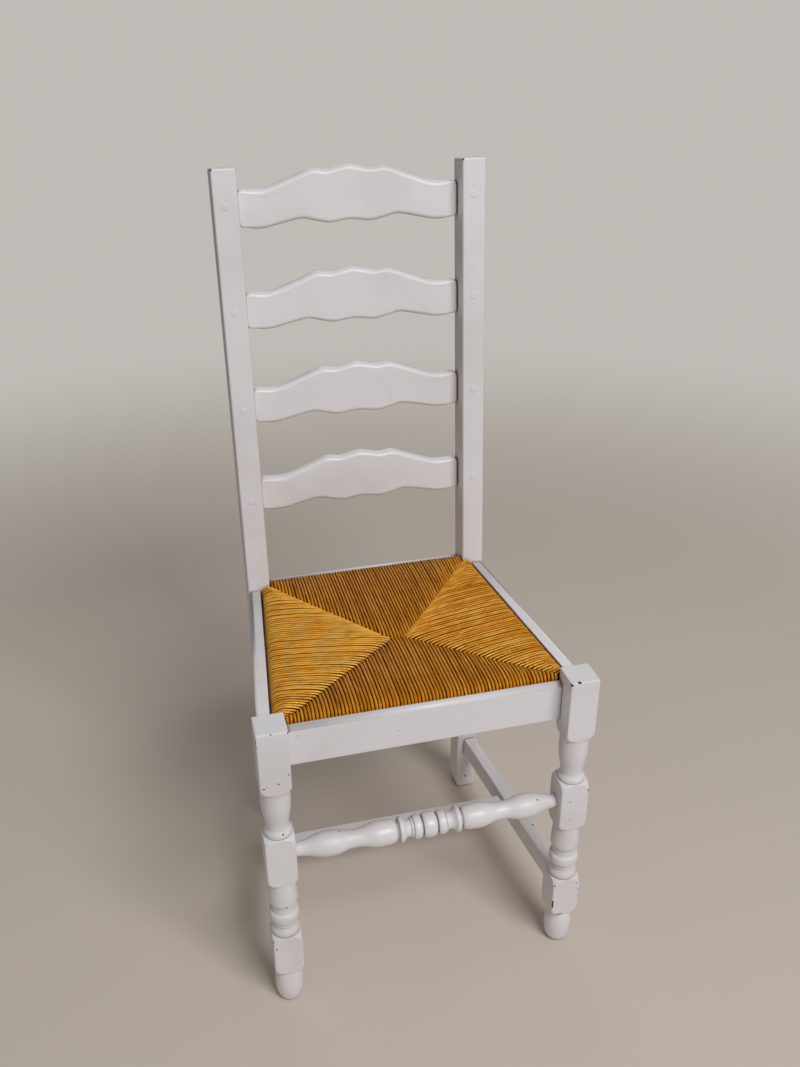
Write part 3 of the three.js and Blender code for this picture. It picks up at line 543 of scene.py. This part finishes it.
def crowded(vert, radius):
    # turns a point about the leg's axis, nearer to the square's closest corner
    quarter = math.pi / 4
    turn = math.atan2(vert.co.y, vert.co.x)
    corner = (math.floor(turn / (2 * quarter)) + 0.5) * 2 * quarter
    share = (turn - corner) / quarter
    turn = corner + quarter * math.copysign(abs(share) ** frontLeg["crowding"], share)
    vert.co.x = radius * math.cos(turn)
    vert.co.y = radius * math.sin(turn)


def buildFrontLeg(side, material):
    low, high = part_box(f"front_leg_{side}")
    half = (high.x - low.x) / 2
    height = high.z
    topEase = frontLeg["topEase"] * mm
    moves = legProfile(half / mm, height / mm)
    profile = alongPath((0, 0), moves, frontLeg["curveStep"], frontLeg["lineStep"])
    bm = spunFrom([Vector((r, 0, z)) * mm for r, z in profile], (0, 0, 1), frontLeg["columns"])
    for vert in bm.verts:
        radius = vert.co.xy.length
        if radius < mergeDistance:
            continue
        crowded(vert, radius)
        rise = max(vert.co.z - height + topEase, 0)
        inset = topEase - math.sqrt(max(topEase * topEase - rise * rise, 0))
        limit = (half - inset) * radius / max(abs(vert.co.x), abs(vert.co.y))
        shrink = softMin(radius, limit, frontLeg["softness"] * mm) / radius
        vert.co.x *= shrink
        vert.co.y *= shrink
    middle = (low + high) / 2
    bmesh.ops.translate(bm, verts=bm.verts, vec=(middle.x, middle.y, 0))
    addPiece(f"frontLeg{titles[side]}", bm, material, "painted_wood", f"front_leg_{side}", flat=False)


# Rear posts: upright to the seat, raked above, with a rounded foot
rearPost = {
    "depth": 40,
    "bend": (400, 500),
    "bendSteps": 10,
    "rakeStart": 450,
    "setBack": 45.5,
    "edge": 2.6,
    "topDrop": 4.6,  # the top slopes down to the back
    "footHeight": 12,
    "footSide": 7,
    "footFront": 3.5,
    "footBack": 7,
    "footCuts": (0.2, 0.35, 0.5, 0.7, 1),  # shares of the foot's height
}


def rakeSlope(height):
    return rearPost["setBack"] * mm / (height - rearPost["rakeStart"] * mm)


def rakeAt(z, height):
    start, end = (value * mm for value in rearPost["bend"])
    slope = rakeSlope(height)
    if z > end:
        return slope * (z - rearPost["rakeStart"] * mm)
    return slope * max(z - start, 0) ** 2 / (2 * (end - start))


def buildRearPost(side, material):
    low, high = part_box(f"rear_post_{side}")
    back = low.y + rearPost["depth"] * mm
    bm = roundedBox(low, Vector((high.x, back, high.z)), rearPost["edge"] * mm)
    footHeight = rearPost["footHeight"] * mm
    start, end = (value * mm for value in rearPost["bend"])
    steps = rearPost["bendSteps"]
    cuts = [footHeight * share for share in rearPost["footCuts"]]
    cuts += [start + (end - start) * index / steps for index in range(steps + 1)]
    for cut in cuts:
        everything = bm.verts[:] + bm.edges[:] + bm.faces[:]
        bmesh.ops.bisect_plane(bm, geom=everything, plane_co=(0, 0, cut), plane_no=(0, 0, 1))
    middle = (low.x + high.x) / 2
    for vert in bm.verts:
        drop = max(footHeight - vert.co.z, 0) / footHeight
        inset = 1 - math.sqrt(max(1 - drop * drop, 0))
        narrow = 1 - inset * rearPost["footSide"] * mm * 2 / (high.x - low.x)
        vert.co.x = middle + (vert.co.x - middle) * narrow
        forward = (back - vert.co.y) / (back - low.y)
        if vert.co.z > high.z - 2 * rearPost["edge"] * mm:
            vert.co.z -= (1 - forward) * rearPost["topDrop"] * mm
        vert.co.y += inset * mm * (forward * rearPost["footFront"] - (1 - forward) * rearPost["footBack"])
        vert.co.y += rakeAt(vert.co.z, high.z)
    addPiece(f"rearPost{titles[side]}", bm, material, "painted_wood", f"rear_post_{side}")


# Seat rails: a rounded outer top edge, a lip beside the rush and a ledge below it
seatRail = {
    "endLip": 9.5,
    "sideLip": 17,
    "ledgeDepth": 24,
    "ledgeWidth": 11,
    "topRound": 5.5,
    "topSegments": 8,
    "edge": 1.2,
    "edgeSegments": 2,
    "longEdge": 100,  # an edge that runs the rail's length is longer than this
    "gap": 0.3,
    "sideFront": 210.4,  # outer face, from the middle, at the leg and at the post
    "sideRear": 179.4,
}


def railSection(lip, low, high):
    ledge = high - seatRail["ledgeDepth"] * mm
    wide = lip + seatRail["ledgeWidth"] * mm
    return [(0, low), (wide, low), (wide, ledge), (lip, ledge), (lip, high), (0, high)]


def roundRail(bm, outerTop, ends):
    def runs(edge):
        a, b = edge.verts
        return abs((a.co - b.co)[ends]) > seatRail["longEdge"] * mm

    lengthwise = [edge for edge in bm.edges if runs(edge)]
    crown = [edge for edge in lengthwise if outerTop(edge)]
    others = [edge for edge in lengthwise if edge not in crown]
    rounded(bm, others, seatRail["edge"] * mm, seatRail["edgeSegments"])
    crown = [edge for edge in bm.edges if runs(edge) and outerTop(edge)]
    rounded(bm, crown, seatRail["topRound"] * mm, seatRail["topSegments"])


def buildEndRail(place, inward, carrier, material):
    low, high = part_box(f"{place}_seat_rail")
    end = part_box(f"{carrier}_right")[0].x - seatRail["gap"] * mm
    face = low.y if inward > 0 else high.y
    section = railSection(seatRail["endLip"] * mm, low.z, high.z)
    bm = extruded([(-end, face + inward * across, z) for across, z in section], (2 * end, 0, 0))

    def outerTop(edge):
        return all(abs(v.co.y - face) < touching and abs(v.co.z - high.z) < touching for v in edge.verts)

    roundRail(bm, outerTop, 0)
    addPiece(f"{place}SeatRail", bm, material, "painted_wood", f"{place}_seat_rail")


def sideEnds():
    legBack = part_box("front_leg_right")[1].y
    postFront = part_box("rear_post_right")[0].y
    return legBack, postFront


def sideShear(bm, side, frontX, rearX):
    legBack, postFront = sideEnds()
    for vert in bm.verts:
        share = (vert.co.y - legBack) / (postFront - legBack)
        vert.co.x += side * (frontX + (rearX - frontX) * share) * mm


def buildSideRail(name, material):
    side = sides[name]
    low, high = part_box(f"side_seat_rail_{name}")
    legBack, postFront = sideEnds()
    gap = seatRail["gap"] * mm
    section = railSection(seatRail["sideLip"] * mm, low.z, high.z)
    points = [(-side * across, legBack + gap, z) for across, z in section]
    bm = extruded(points, (0, postFront - legBack - 2 * gap, 0))

    def outerTop(edge):
        return all(abs(v.co.x) < touching and abs(v.co.z - high.z) < touching for v in edge.verts)

    roundRail(bm, outerTop, 1)
    sideShear(bm, side, seatRail["sideFront"], seatRail["sideRear"])
    addPiece(f"sideSeatRail{titles[name]}", bm, material, "painted_wood", f"side_seat_rail_{name}")


# Back slats: humped above, scalloped below, every edge pillowed
backSlat = {
    "count": 4,
    "upper": ((112, 0.8), (81, 10.9), (50, 21.8), (30, 20.6), (14, 23.7), (0, 26)),  # from the end's top
    "lower": ((118, -48.8), (92, -43.9), (65, -39), (47, -42.5), (29, -46), (14.5, -44.5), (0, -43)),
    "endHeight": 46,
    "endRound": 8,
    "peak": 26,
    "thickness": 17,
    "setBack": 31.5,
    "round": 6,
    "endEase": 3,  # a crisper edge at the ends
    "easeLength": 18,
    "rings": 6,
    "steps": 9,
    "endSteps": (2.5, 50),  # along the end's curves and its straight
    "gap": 0.3,
}


def splineThrough(points, steps):
    # a smooth curve that passes through every point
    ends = [points[0], *points, points[-1]]
    line = []
    for a, b, c, d in zip(ends, ends[1:], ends[2:], ends[3:]):
        for index in range(steps):
            t = index / steps
            line.append(0.5 * (2 * b + (c - a) * t + (2 * a - 5 * b + 4 * c - d) * t * t
                               + (3 * b - a - 3 * c + d) * t * t * t))
    return line + [points[-1]]


def slatOutline(end, top):
    def mirrored(points):
        right = [Vector((x, z)) for x, z in points]
        left = [Vector((-x, z)) for x, z in points if x > 0]
        return right + left[::-1]

    low = -backSlat["endHeight"]
    turn = backSlat["endRound"]
    start = end - turn
    upper = splineThrough(mirrored(((start, 0), *backSlat["upper"])), backSlat["steps"])
    lower = splineThrough(mirrored(((start, low), *backSlat["lower"])), backSlat["steps"])
    endMoves = [[(end, 0), (end, -turn)], [(end, low + turn)], [(end, low), (start, low)]]
    rightEnd = alongPath((start, 0), endMoves, *backSlat["endSteps"])[1:-1]
    leftEnd = [Vector((-x, z)) for x, z in rightEnd]
    edge = upper + leftEnd + lower[::-1] + rightEnd[::-1]
    return [Vector((x, z + top)) for x, z in edge]


def slatRings(outline, end):
    # the outline at each depth, drawn in towards the two faces
    after = outline[1:] + outline[:1]
    before = outline[-1:] + outline[:-1]
    half = backSlat["thickness"] / 2
    inwards = []
    rounds = []
    for point, a, b in zip(outline, before, after):
        along = (b - a).normalized()
        inwards.append(Vector((-along.y, along.x)))
        share = min(max((end - abs(point.x) - backSlat["endRound"]) / backSlat["easeLength"], 0), 1)
        rounds.append(backSlat["endEase"] + (backSlat["round"] - backSlat["endEase"]) * share)
    turns = [math.pi / 2 * index / backSlat["rings"] for index in range(backSlat["rings"] + 1)]
    for face, turn in [(-1, turn) for turn in turns[::-1]] + [(1, turn) for turn in turns]:
        ring = []
        for point, inward, radius in zip(outline, inwards, rounds):
            spot = point + inward * radius * (1 - math.cos(turn))
            depth = face * (half - radius * (1 - math.sin(turn)))
            ring.append(Vector((spot.x, depth, spot.y)) * mm)
        yield ring


def loopOf(bm, points):
    verts = [bm.verts.new(point) for point in points]
    return [bm.edges.new(pair) for pair in zip(verts, verts[1:] + verts[:1])]


def buildSlat(index, material):
    node = f"back_slat_{index + 1}"
    postLow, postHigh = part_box("rear_post_right")
    end = (postLow.x / mm) - backSlat["gap"]
    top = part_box(node)[1].z / mm - backSlat["peak"]
    bm = bmesh.new()
    loops = [loopOf(bm, ring) for ring in slatRings(slatOutline(end, top), end)]
    for first, second in zip(loops, loops[1:]):
        bmesh.ops.bridge_loops(bm, edges=first + second)
    for cap in (loops[0], loops[-1]):
        bmesh.ops.edgeloop_fill(bm, edges=cap)
    bmesh.ops.translate(bm, verts=bm.verts, vec=(0, postLow.y + backSlat["setBack"] * mm, 0))
    slope = rakeSlope(postHigh.z)
    for vert in bm.verts:
        vert.co.y += slope * (vert.co.z - rearPost["rakeStart"] * mm)
    addPiece(f"backSlat{index + 1}", bm, material, "painted_wood", node)


# Pegs that pin the slats, almost flush with the posts
slatPeg = {
    "radius": 4.9,
    "proud": 0.55,
    "rim": 0.7,
    "depth": 4,
    "flat": 0.6,  # the share of the radius where the rounded rim starts
    "dome": 1.15,  # how far the middle stands out, as a share of proud
    "steps": (0.4, 3),
    "columns": 32,
}


def buildPeg(side, index, material):
    node = f"slat_peg_{side}_{index + 1}"
    low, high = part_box(node)
    middle = (low + high) / 2
    postLow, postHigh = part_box("rear_post_right")
    radius, proud, rim, depth = (slatPeg[key] for key in ("radius", "proud", "rim", "depth"))
    moves = [
        [(radius * slatPeg["flat"], -proud)],
        [(radius, -proud), (radius, rim - proud)],
        [(radius, depth)],
        [(0, depth)],
    ]
    profile = alongPath((0, -proud * slatPeg["dome"]), moves, *slatPeg["steps"])
    bm = spunFrom([Vector((r, y, 0)) * mm for r, y in profile], (0, 1, 0), slatPeg["columns"])
    slope = rakeSlope(postHigh.z)
    for vert in bm.verts:
        vert.co.y += slope * vert.co.z
    front = postLow.y + rakeAt(middle.z, postHigh.z)
    bmesh.ops.translate(bm, verts=bm.verts, vec=(middle.x, front, middle.z))
    addPiece(f"slatPeg{titles[side]}{index + 1}", bm, material, "painted_wood", node, flat=False)


# Front stretcher, turned the same way out from its middle ball; each form is a radius and where it ends
frontStretcher = {
    "ball": (16.8, 10),
    "groove": 11.2,
    "cut": 0.7,  # half the width of a groove
    "bead": (16, 22),
    "fillet": (13.5, 24.5),
    "cove": (9.8, 35),
    "coveTurn": 4,  # where the cove turns up, before its end
    "disc": (17.2, 41),
    "discRim": 1.5,
    "discRise": (1, 2.5),  # the disc's crown, after the cove's end
    "vase": (17, 44, 65),  # radius, start and middle
    "neck": 11.8,
    "bulge": (16.6, 46),  # radius, and the middle's distance from the end
    "end": 9,
    "sink": 1,  # into the legs
    "steps": (1.1, 1.3),
    "columns": 64,
}


def stretcherHalf(end):
    values = frontStretcher
    ball, ballEnd = values["ball"]
    groove = values["groove"]
    cut = values["cut"]
    bead, beadEnd = values["bead"]
    beadMiddle = (ballEnd + beadEnd) / 2
    fillet, filletEnd = values["fillet"]
    cove, coveEnd = values["cove"]
    disc, discEnd = values["disc"]
    rim = values["discRim"]
    discStart, discCrown = values["discRise"]
    vase, vaseStart, vaseMiddle = values["vase"]
    neck = values["neck"]
    bulge, inset = values["bulge"]
    bulgeMiddle = end - inset
    neckMiddle = (vaseMiddle + bulgeMiddle) / 2
    swell = (neckMiddle - vaseMiddle) / 2
    tip = values["end"]
    return alongPath((0, ball), [
        [(ballEnd - cut, ball), (ballEnd - cut, (ball + groove) / 2), (ballEnd - cut, groove)],
        [(ballEnd + cut, groove)],
        [(ballEnd + cut, (bead + groove) / 2), (ballEnd + cut, bead), (beadMiddle, bead)],
        [(beadEnd, bead), (beadEnd, (bead + fillet) / 2), (beadEnd, fillet - cut)],
        [(beadEnd + cut, fillet - cut)],
        [(beadEnd + cut, fillet)],
        [(filletEnd, fillet)],
        [(filletEnd, cove), (coveEnd - values["coveTurn"], cove), (coveEnd, disc - rim)],
        [(coveEnd + discStart, disc), (coveEnd + discCrown, disc)],
        [(discEnd, disc), (discEnd, disc - rim)],
        [(discEnd, groove), (vaseStart, groove)],
        [(vaseStart, vase), (vaseMiddle, vase)],
        [(vaseMiddle + swell, vase), (neckMiddle - swell, neck), (neckMiddle, neck)],
        [(neckMiddle + swell, neck), (bulgeMiddle - swell, bulge), (bulgeMiddle, bulge)],
        [(end - inset / 2, bulge), (end - inset / 2, tip), (end, tip)],
    ], *values["steps"])


def buildFrontStretcher(material):
    low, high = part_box("front_stretcher")
    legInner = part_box("front_leg_right")[0].x
    half = stretcherHalf(legInner / mm + frontStretcher["sink"])
    profile = [Vector((-x, r)) for x, r in half[:0:-1]] + half
    profile = [Vector((profile[0].x, 0)), *profile, Vector((profile[-1].x, 0))]
    bm = spunFrom([Vector((x, r, 0)) * mm for x, r in profile], (1, 0, 0), frontStretcher["columns"])
    middle = (low + high) / 2
    bmesh.ops.translate(bm, verts=bm.verts, vec=(0, middle.y, middle.z))
    addPiece("frontStretcher", bm, material, "painted_wood", "front_stretcher", flat=False)


# Side stretchers and the cross stretcher
lowStretcher = {
    "sideFront": 211.7,  # outer face, from the middle, at the leg and at the post
    "sideRear": 178.2,
    "width": 19,
    "edge": 1.6,
    "gap": 0.3,
    "sink": 1,  # the cross stretcher's ends, into the side stretchers
}


def buildSideStretcher(name, material):
    side = sides[name]
    low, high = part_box(f"side_stretcher_{name}")
    legBack, postFront = sideEnds()
    gap = lowStretcher["gap"] * mm
    across = sorted((0, -side * lowStretcher["width"] * mm))
    corners = Vector((across[0], legBack + gap, low.z)), Vector((across[1], postFront - gap, high.z))
    bm = roundedBox(*corners, lowStretcher["edge"] * mm)
    sideShear(bm, side, lowStretcher["sideFront"], lowStretcher["sideRear"])
    addPiece(f"sideStretcher{titles[name]}", bm, material, "painted_wood", f"side_stretcher_{name}")


def buildCrossStretcher(material):
    low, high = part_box("cross_stretcher")
    legBack, postFront = sideEnds()
    bm = roundedBox(low, high, lowStretcher["edge"] * mm)
    front, rear = lowStretcher["sideFront"], lowStretcher["sideRear"]
    for vert in bm.verts:
        share = (vert.co.y - legBack) / (postFront - legBack)
        inner = (front + (rear - front) * share - lowStretcher["width"] + lowStretcher["sink"]) * mm
        vert.co.x *= inner / high.x
    addPiece("crossStretcher", bm, material, "painted_wood", "cross_stretcher")


# Rush seat: single cords that wrap the frame and meet in four seams
rushSeat = {
    "frontCords": 36,  # from a front corner to the middle ridge
    "rearCords": 31,
    "ridgeCords": 4,
    "ridgeLength": 18,
    "ridgeFromFront": 141,
    "legGap": 2.2,
    "legBackGap": 2.5,
    "postGap": 1.5,
    "rearHalf": 161.35,
    "shortest": 4,  # a shorter cord is left out
    "seed": 11,
    "seedStep": 7,
}

# One cord and its run round the frame
rushCord = {
    "sides": 6,
    "stations": 12,
    "halfHeight": 2.4,
    "heightFill": 1.12,
    "endFill": 0.525,  # half a cord's width, as a share of the pitch, at front and rear
    "sideFill": 0.515,
    "fullness": (0.95, 1.05),
    "endSway": 0.25,
    "sideSway": 0.28,
    "lift": (-0.5, 0.3),
    "tone": (0.3, 0.7),
    "paintedSideLight": {"Left": 0.53, "Right": 0.31},  # painted light: added to the tone at the two sides, where light falls on the side panels, more on the left
    "shift": (0, 9),  # slides the fibres along, in metres
    "tuck": (1.6, 2.4),  # past the seam, and down into it
    "seamDip": 3.6,  # the seams lie this much below the cords' crowns
    "dipShare": 0.35,  # the largest share of a short cord, as in the next two
    "rise": 26,  # from the seam up to the crown
    "riseShare": 0.42,
    "nose": 14,  # the roll over the frame's edge
    "noseShare": 0.45,
    "seamStart": 0.04,  # a share of the rise
    "slope": (0.35, 0.42),  # a point on the rise, as shares of the rise and the dip
    "swell": (0.3, 1.0),  # above the crown, where the rise ends and in the middle
    "noseDrop": 2.0,
    "face": (7, 6),  # the upright face's top and foot, below the crown and above the underside
    "under": (0.6, 4),  # the end underneath, before the seam and above the underside
}


def dividedLine(start, end, count):
    return [start.lerp(end, index / count) for index in range(count + 1)]


def chained(*lines):
    return lines[0] + [point for line in lines[1:] for point in line[1:]]


def rushPanels():
    low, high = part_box("rush_seat")
    legLow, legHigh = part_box("front_leg_right")
    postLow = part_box("rear_post_right")[0]
    front, rear, ridge = (rushSeat[key] for key in ("frontCords", "rearCords", "ridgeCords"))
    frontX = legLow.x - rushSeat["legGap"] * mm
    frontY = legHigh.y + rushSeat["legBackGap"] * mm
    rearX = postLow.x - rushSeat["postGap"] * mm
    rearY = postLow.y - rushSeat["postGap"] * mm
    ridgeX = rushSeat["ridgeLength"] * mm / 2
    ridgeY = low.y + rushSeat["ridgeFromFront"] * mm
    rearHalf = rushSeat["rearHalf"] * mm
    seam = {}
    for side in (-1, 1):
        middle = Vector((side * ridgeX, ridgeY))
        seam["front", side] = dividedLine(Vector((side * frontX, frontY)), middle, front)
        seam["rear", side] = dividedLine(Vector((side * rearX, rearY)), middle, rear)
    across = dividedLine(Vector((-ridgeX, ridgeY)), Vector((ridgeX, ridgeY)), ridge)
    panels = {
        "Front": (chained(seam["front", -1], across, seam["front", 1][::-1]),
                  (-frontX, low.y), (frontX, low.y)),
        "Right": (chained(seam["front", 1], seam["rear", 1][::-1]), (high.x, frontY), (rearHalf, rearY)),
        "Rear": (chained(seam["rear", 1], across[::-1], seam["rear", -1][::-1]),
                 (rearX, high.y), (-rearX, high.y)),
        "Left": (chained(seam["rear", -1], seam["front", -1][::-1]), (-rearHalf, rearY), (low.x, frontY)),
    }
    return {name: (line, dividedLine(Vector(start), Vector(end), len(line) - 1))
            for name, (line, start, end) in panels.items()}


def cordRun(length, top, bottom, lift):
    # distance in from the edge and height, from the seam on top round to the seam underneath
    half = rushCord["halfHeight"] * mm
    high = top - half + lift
    low = bottom + half
    nose = min(rushCord["nose"] * mm, rushCord["noseShare"] * length)
    rise = min(rushCord["rise"] * mm, rushCord["riseShare"] * length)
    dip = min(rushCord["seamDip"] * mm, rushCord["dipShare"] * length)
    middle = (length - rise + nose) / 2
    tuckIn, tuckDown = (value * mm for value in rushCord["tuck"])
    slopeIn, slopeDown = rushCord["slope"]
    riseSwell, middleSwell = (value * mm for value in rushCord["swell"])
    faceTop, faceFoot = (value * mm for value in rushCord["face"])
    underIn, underUp = (value * mm for value in rushCord["under"])
    return [
        (length + tuckIn, high - dip - tuckDown),
        (length - rushCord["seamStart"] * rise, high - dip),
        (length - slopeIn * rise, high - slopeDown * dip),
        (length - rise, high + riseSwell),
        (middle, high + middleSwell),
        (nose, high),
        (nose / 2, high - rushCord["noseDrop"] * mm),
        (half, high - faceTop),
        (half, low + faceFoot),
        (nose, low),
        (length - rise, low),
        (length - underIn, low + underUp),
    ]


def unitCord():
    # a flat strip, one unit wide and long, that each cord is rolled from
    bm = bmesh.new()
    bm.loops.layers.uv.new("cord")
    rows = rushCord["stations"] - 1
    bmesh.ops.create_grid(bm, x_segments=rushCord["sides"], y_segments=rows, size=0.5, calc_uvs=True)
    mesh = bpy.data.meshes.new("unitCord")
    bm.to_mesh(mesh)
    bm.free()
    return mesh


def layCord(bm, unit, seam, edge, widths, top, bottom, draw, paintedSideLight):
    onSide = paintedSideLight > 0
    inward = (seam - edge).normalized()
    sideways = Vector((inward.y, -inward.x, 0))
    length = (seam - edge).length
    run = cordRun(length, top, bottom, draw.uniform(*rushCord["lift"]) * mm)
    points = [Vector((edge.x + inward.x * along, edge.y + inward.y * along, z)) for along, z in run]
    steps = [0]
    for a, b in zip(points, points[1:]):
        steps.append(steps[-1] + (b - a).length)
    fullness = draw.uniform(*rushCord["fullness"])
    fullness *= rushCord["sideFill" if onSide else "endFill"]
    # a cord's random tone, raised by the painted light on the side panels
    tone = draw.uniform(*rushCord["tone"]) + paintedSideLight
    shift = draw.uniform(*rushCord["shift"])
    loose = rushCord["sideSway" if onSide else "endSway"] * mm
    sway = [draw.uniform(-loose, loose) for point in points]
    firstVert, firstFace = len(bm.verts), len(bm.faces)
    bm.from_mesh(unit)
    bm.verts.ensure_lookup_table()
    bm.faces.ensure_lookup_table()
    toneLayer = bm.verts.layers.float["cordToneAndLight"]
    uvLayer = bm.loops.layers.uv["cord"]
    last = len(points) - 1
    for vert in bm.verts[firstVert:]:
        row = round((vert.co.y + 0.5) * last)
        turn = (vert.co.x + 0.5) * math.tau - math.pi / 2
        ahead = (points[min(row + 1, last)] - points[max(row - 1, 0)]).normalized()
        outward = ahead.cross(sideways)
        near = min(max(run[row][0] / length, 0), 1)
        half = fullness * (widths[0] + (widths[1] - widths[0]) * near)
        high = rushCord["halfHeight"] * mm * rushCord["heightFill"]
        vert.co = points[row] + sideways * (half * math.cos(turn) + sway[row])
        vert.co += outward * high * math.sin(turn)
        vert[toneLayer] = tone
    for face in bm.faces[firstFace:]:
        for loop in face.loops:
            uv = loop[uvLayer].uv
            row = round(uv.y * last)
            loop[uvLayer].uv = (uv.x, steps[row] + shift)


def buildRushPanel(name, seam, edge, material):
    low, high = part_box("rush_seat")
    draw = random.Random(rushSeat["seed"] + len(name) * rushSeat["seedStep"])
    bm = bmesh.new()
    bm.loops.layers.uv.new("cord")
    bm.verts.layers.float.new("cordToneAndLight")
    unit = unitCord()
    paintedSideLight = rushCord["paintedSideLight"].get(name, 0)
    for index in range(len(seam) - 1):
        seamPoint = (seam[index] + seam[index + 1]) / 2
        edgePoint = (edge[index] + edge[index + 1]) / 2
        inward = (seamPoint - edgePoint).normalized()
        if (seamPoint - edgePoint).length < rushSeat["shortest"] * mm:
            continue
        steps = edge[index + 1] - edge[index], seam[index + 1] - seam[index]
        widths = [abs(step.cross(inward)) for step in steps]
        layCord(bm, unit, seamPoint, edgePoint, widths, high.z, low.z, draw, paintedSideLight)
    bmesh.ops.remove_doubles(bm, verts=bm.verts, dist=mergeDistance)
    bmesh.ops.holes_fill(bm, edges=[edge for edge in bm.edges if edge.is_boundary])
    piece = addPiece(f"rush{name}", bm, material, "woven_rush", "rush_seat", flat=False)
    smooth = piece.modifiers.new("smooth", "SUBSURF")
    smooth.levels = 1
    smooth.render_levels = 1


# Stuffing between the frame's bars, under the cords
rushCore = {
    "front": 158,  # half its width at the front and at the rear
    "rear": 130,
    "frontY": -152,
    "rearY": 128,
    "low": 431,
    "high": 445.5,
    "edge": 3,
}


def buildRushCore(material):
    low = Vector((-1, rushCore["frontY"] * mm, rushCore["low"] * mm))
    high = Vector((1, rushCore["rearY"] * mm, rushCore["high"] * mm))
    bm = roundedBox(low, high, rushCore["edge"] * mm)
    for vert in bm.verts:
        share = (vert.co.y - low.y) / (high.y - low.y)
        vert.co.x *= (rushCore["front"] + (rushCore["rear"] - rushCore["front"]) * share) * mm
    addPiece("rushCore", bm, material, "woven_rush", "rush_seat")


# Floor, backdrop and lamps
stage = {
    "floorHalf": 4.5,
    "floorRoughness": 0.9,
    "fade": (1.0, 2.8),  # the floor runs out into the backdrop between these distances
    "floor": (0.68, 0.60, 0.52),
    "backdrop": (0.53, 0.50, 0.47),
    "worldStrength": 0.18,
    "keyPlace": (1.0, -2.75, 3.3),
    "keyPower": 108,
    "keySize": 1.9,
    "fillPlace": (-2.4, -1.2, 1.9),
    "fillPower": 2,
    "fillSize": 2.2,
    "backPlace": (0.8, 3.4, 2.6),
    "backPower": 14,
    "backSize": 2.0,
    "target": (0, 0, 0.5),
}


def addLamp(name):
    place = Vector(stage[f"{name}Place"])
    data = bpy.data.lights.new(f"{name}Lamp", "AREA")
    data.energy = stage[f"{name}Power"]
    data.size = stage[f"{name}Size"]
    lamp = bpy.data.objects.new(f"{name}Lamp", data)
    lamp.location = place
    lamp.rotation_euler = (Vector(stage["target"]) - place).to_track_quat("-Z", "Y").to_euler()
    bpy.context.scene.collection.objects.link(lamp)


def floorFinish():
    material, tree, shader = startMaterial("paleFloor")
    shader.inputs["Base Color"].default_value = colour(stage["floor"])
    shader.inputs["Roughness"].default_value = stage["floorRoughness"]
    clear = addNode(tree, "BsdfTransparent").outputs[0]
    far = ease(tree, lengthOf(tree, ownPlace(tree)), *stage["fade"])
    faded = addNode(tree, "MixShader", {0: far, 1: shader.outputs[0], 2: clear})
    tree.links.new(faded.outputs[0], tree.nodes["Material Output"].inputs["Surface"])
    return material


def addWorld():
    world = bpy.data.worlds.new("studio")
    world.use_nodes = True
    tree = world.node_tree
    light = tree.nodes["Background"]
    light.inputs["Color"].default_value = (1, 1, 1, 1)
    light.inputs["Strength"].default_value = stage["worldStrength"]
    backdrop = addNode(tree, "Background", {"Color": colour(stage["backdrop"])})
    seen = addNode(tree, "LightPath").outputs["Is Camera Ray"]
    mixed = addNode(tree, "MixShader", {0: seen, 1: light.outputs[0], 2: backdrop.outputs[0]})
    tree.links.new(mixed.outputs[0], tree.nodes["World Output"].inputs["Surface"])
    bpy.context.scene.world = world


def addStage():
    bm = bmesh.new()
    bmesh.ops.create_grid(bm, x_segments=2, y_segments=2, size=stage["floorHalf"])
    mesh = bpy.data.meshes.new("floor")
    bm.to_mesh(mesh)
    bm.free()
    mesh.materials.append(floorFinish())
    floor = bpy.data.objects.new("floor", mesh)
    bpy.context.scene.collection.objects.link(floor)
    for name in ("key", "fill", "back"):
        addLamp(name)
    addWorld()
    bpy.context.scene.view_settings.view_transform = "Standard"


addCamera(photoCamera)
addStage()
print("camera and stage ready")

uprightPaint = paintFinish("paintUpright", "z")
acrossPaint = paintFinish("paintAcross", "x")
deepPaint = paintFinish("paintDeep", "y")
rushMaterial = rushFinish()
woodMaterial = woodFinish()
print("finishes ready")

for sideName, title in titles.items():
    legLines = scratches.get(f"leg{title}", ())
    buildFrontLeg(sideName, paintFinish(f"paintLeg{title}", "z", paintMarks[f"leg{title}"], legLines))
    buildRearPost(sideName, paintFinish(f"paintPost{title}", "z", paintMarks[f"post{title}"]))
    buildSideRail(sideName, deepPaint)
buildSideStretcher("left", deepPaint)
buildSideStretcher("right", paintFinish("paintSideStretcher", "y", paintMarks["sideStretcherRight"]))
frontRailPaint = paintFinish("paintFrontRail", "x", paintMarks["frontRail"], scratches["frontRail"])
buildEndRail("front", 1, "front_leg", frontRailPaint)
buildEndRail("rear", -1, "rear_post", acrossPaint)
buildFrontStretcher(paintFinish("paintFrontStretcher", "x", paintMarks["frontStretcher"]))
buildCrossStretcher(acrossPaint)
topSlatPaint = paintFinish("paintTopSlat", "x", lines=scratches["topSlat"])
for slatIndex in range(backSlat["count"]):
    buildSlat(slatIndex, acrossPaint if slatIndex else topSlatPaint)
    for sideName in sides:
        buildPeg(sideName, slatIndex, uprightPaint)
print("painted frame ready")

for panelName, (seamLine, edgeLine) in rushPanels().items():
    buildRushPanel(panelName, seamLine, edgeLine, rushMaterial)
buildRushCore(rushMaterial)
for node in ("front", "rear", "left", "right"):
    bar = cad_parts[f"seat_frame_{node}"]
    for slot in bar.material_slots:
        slot.material = woodMaterial
print("rush seat ready")
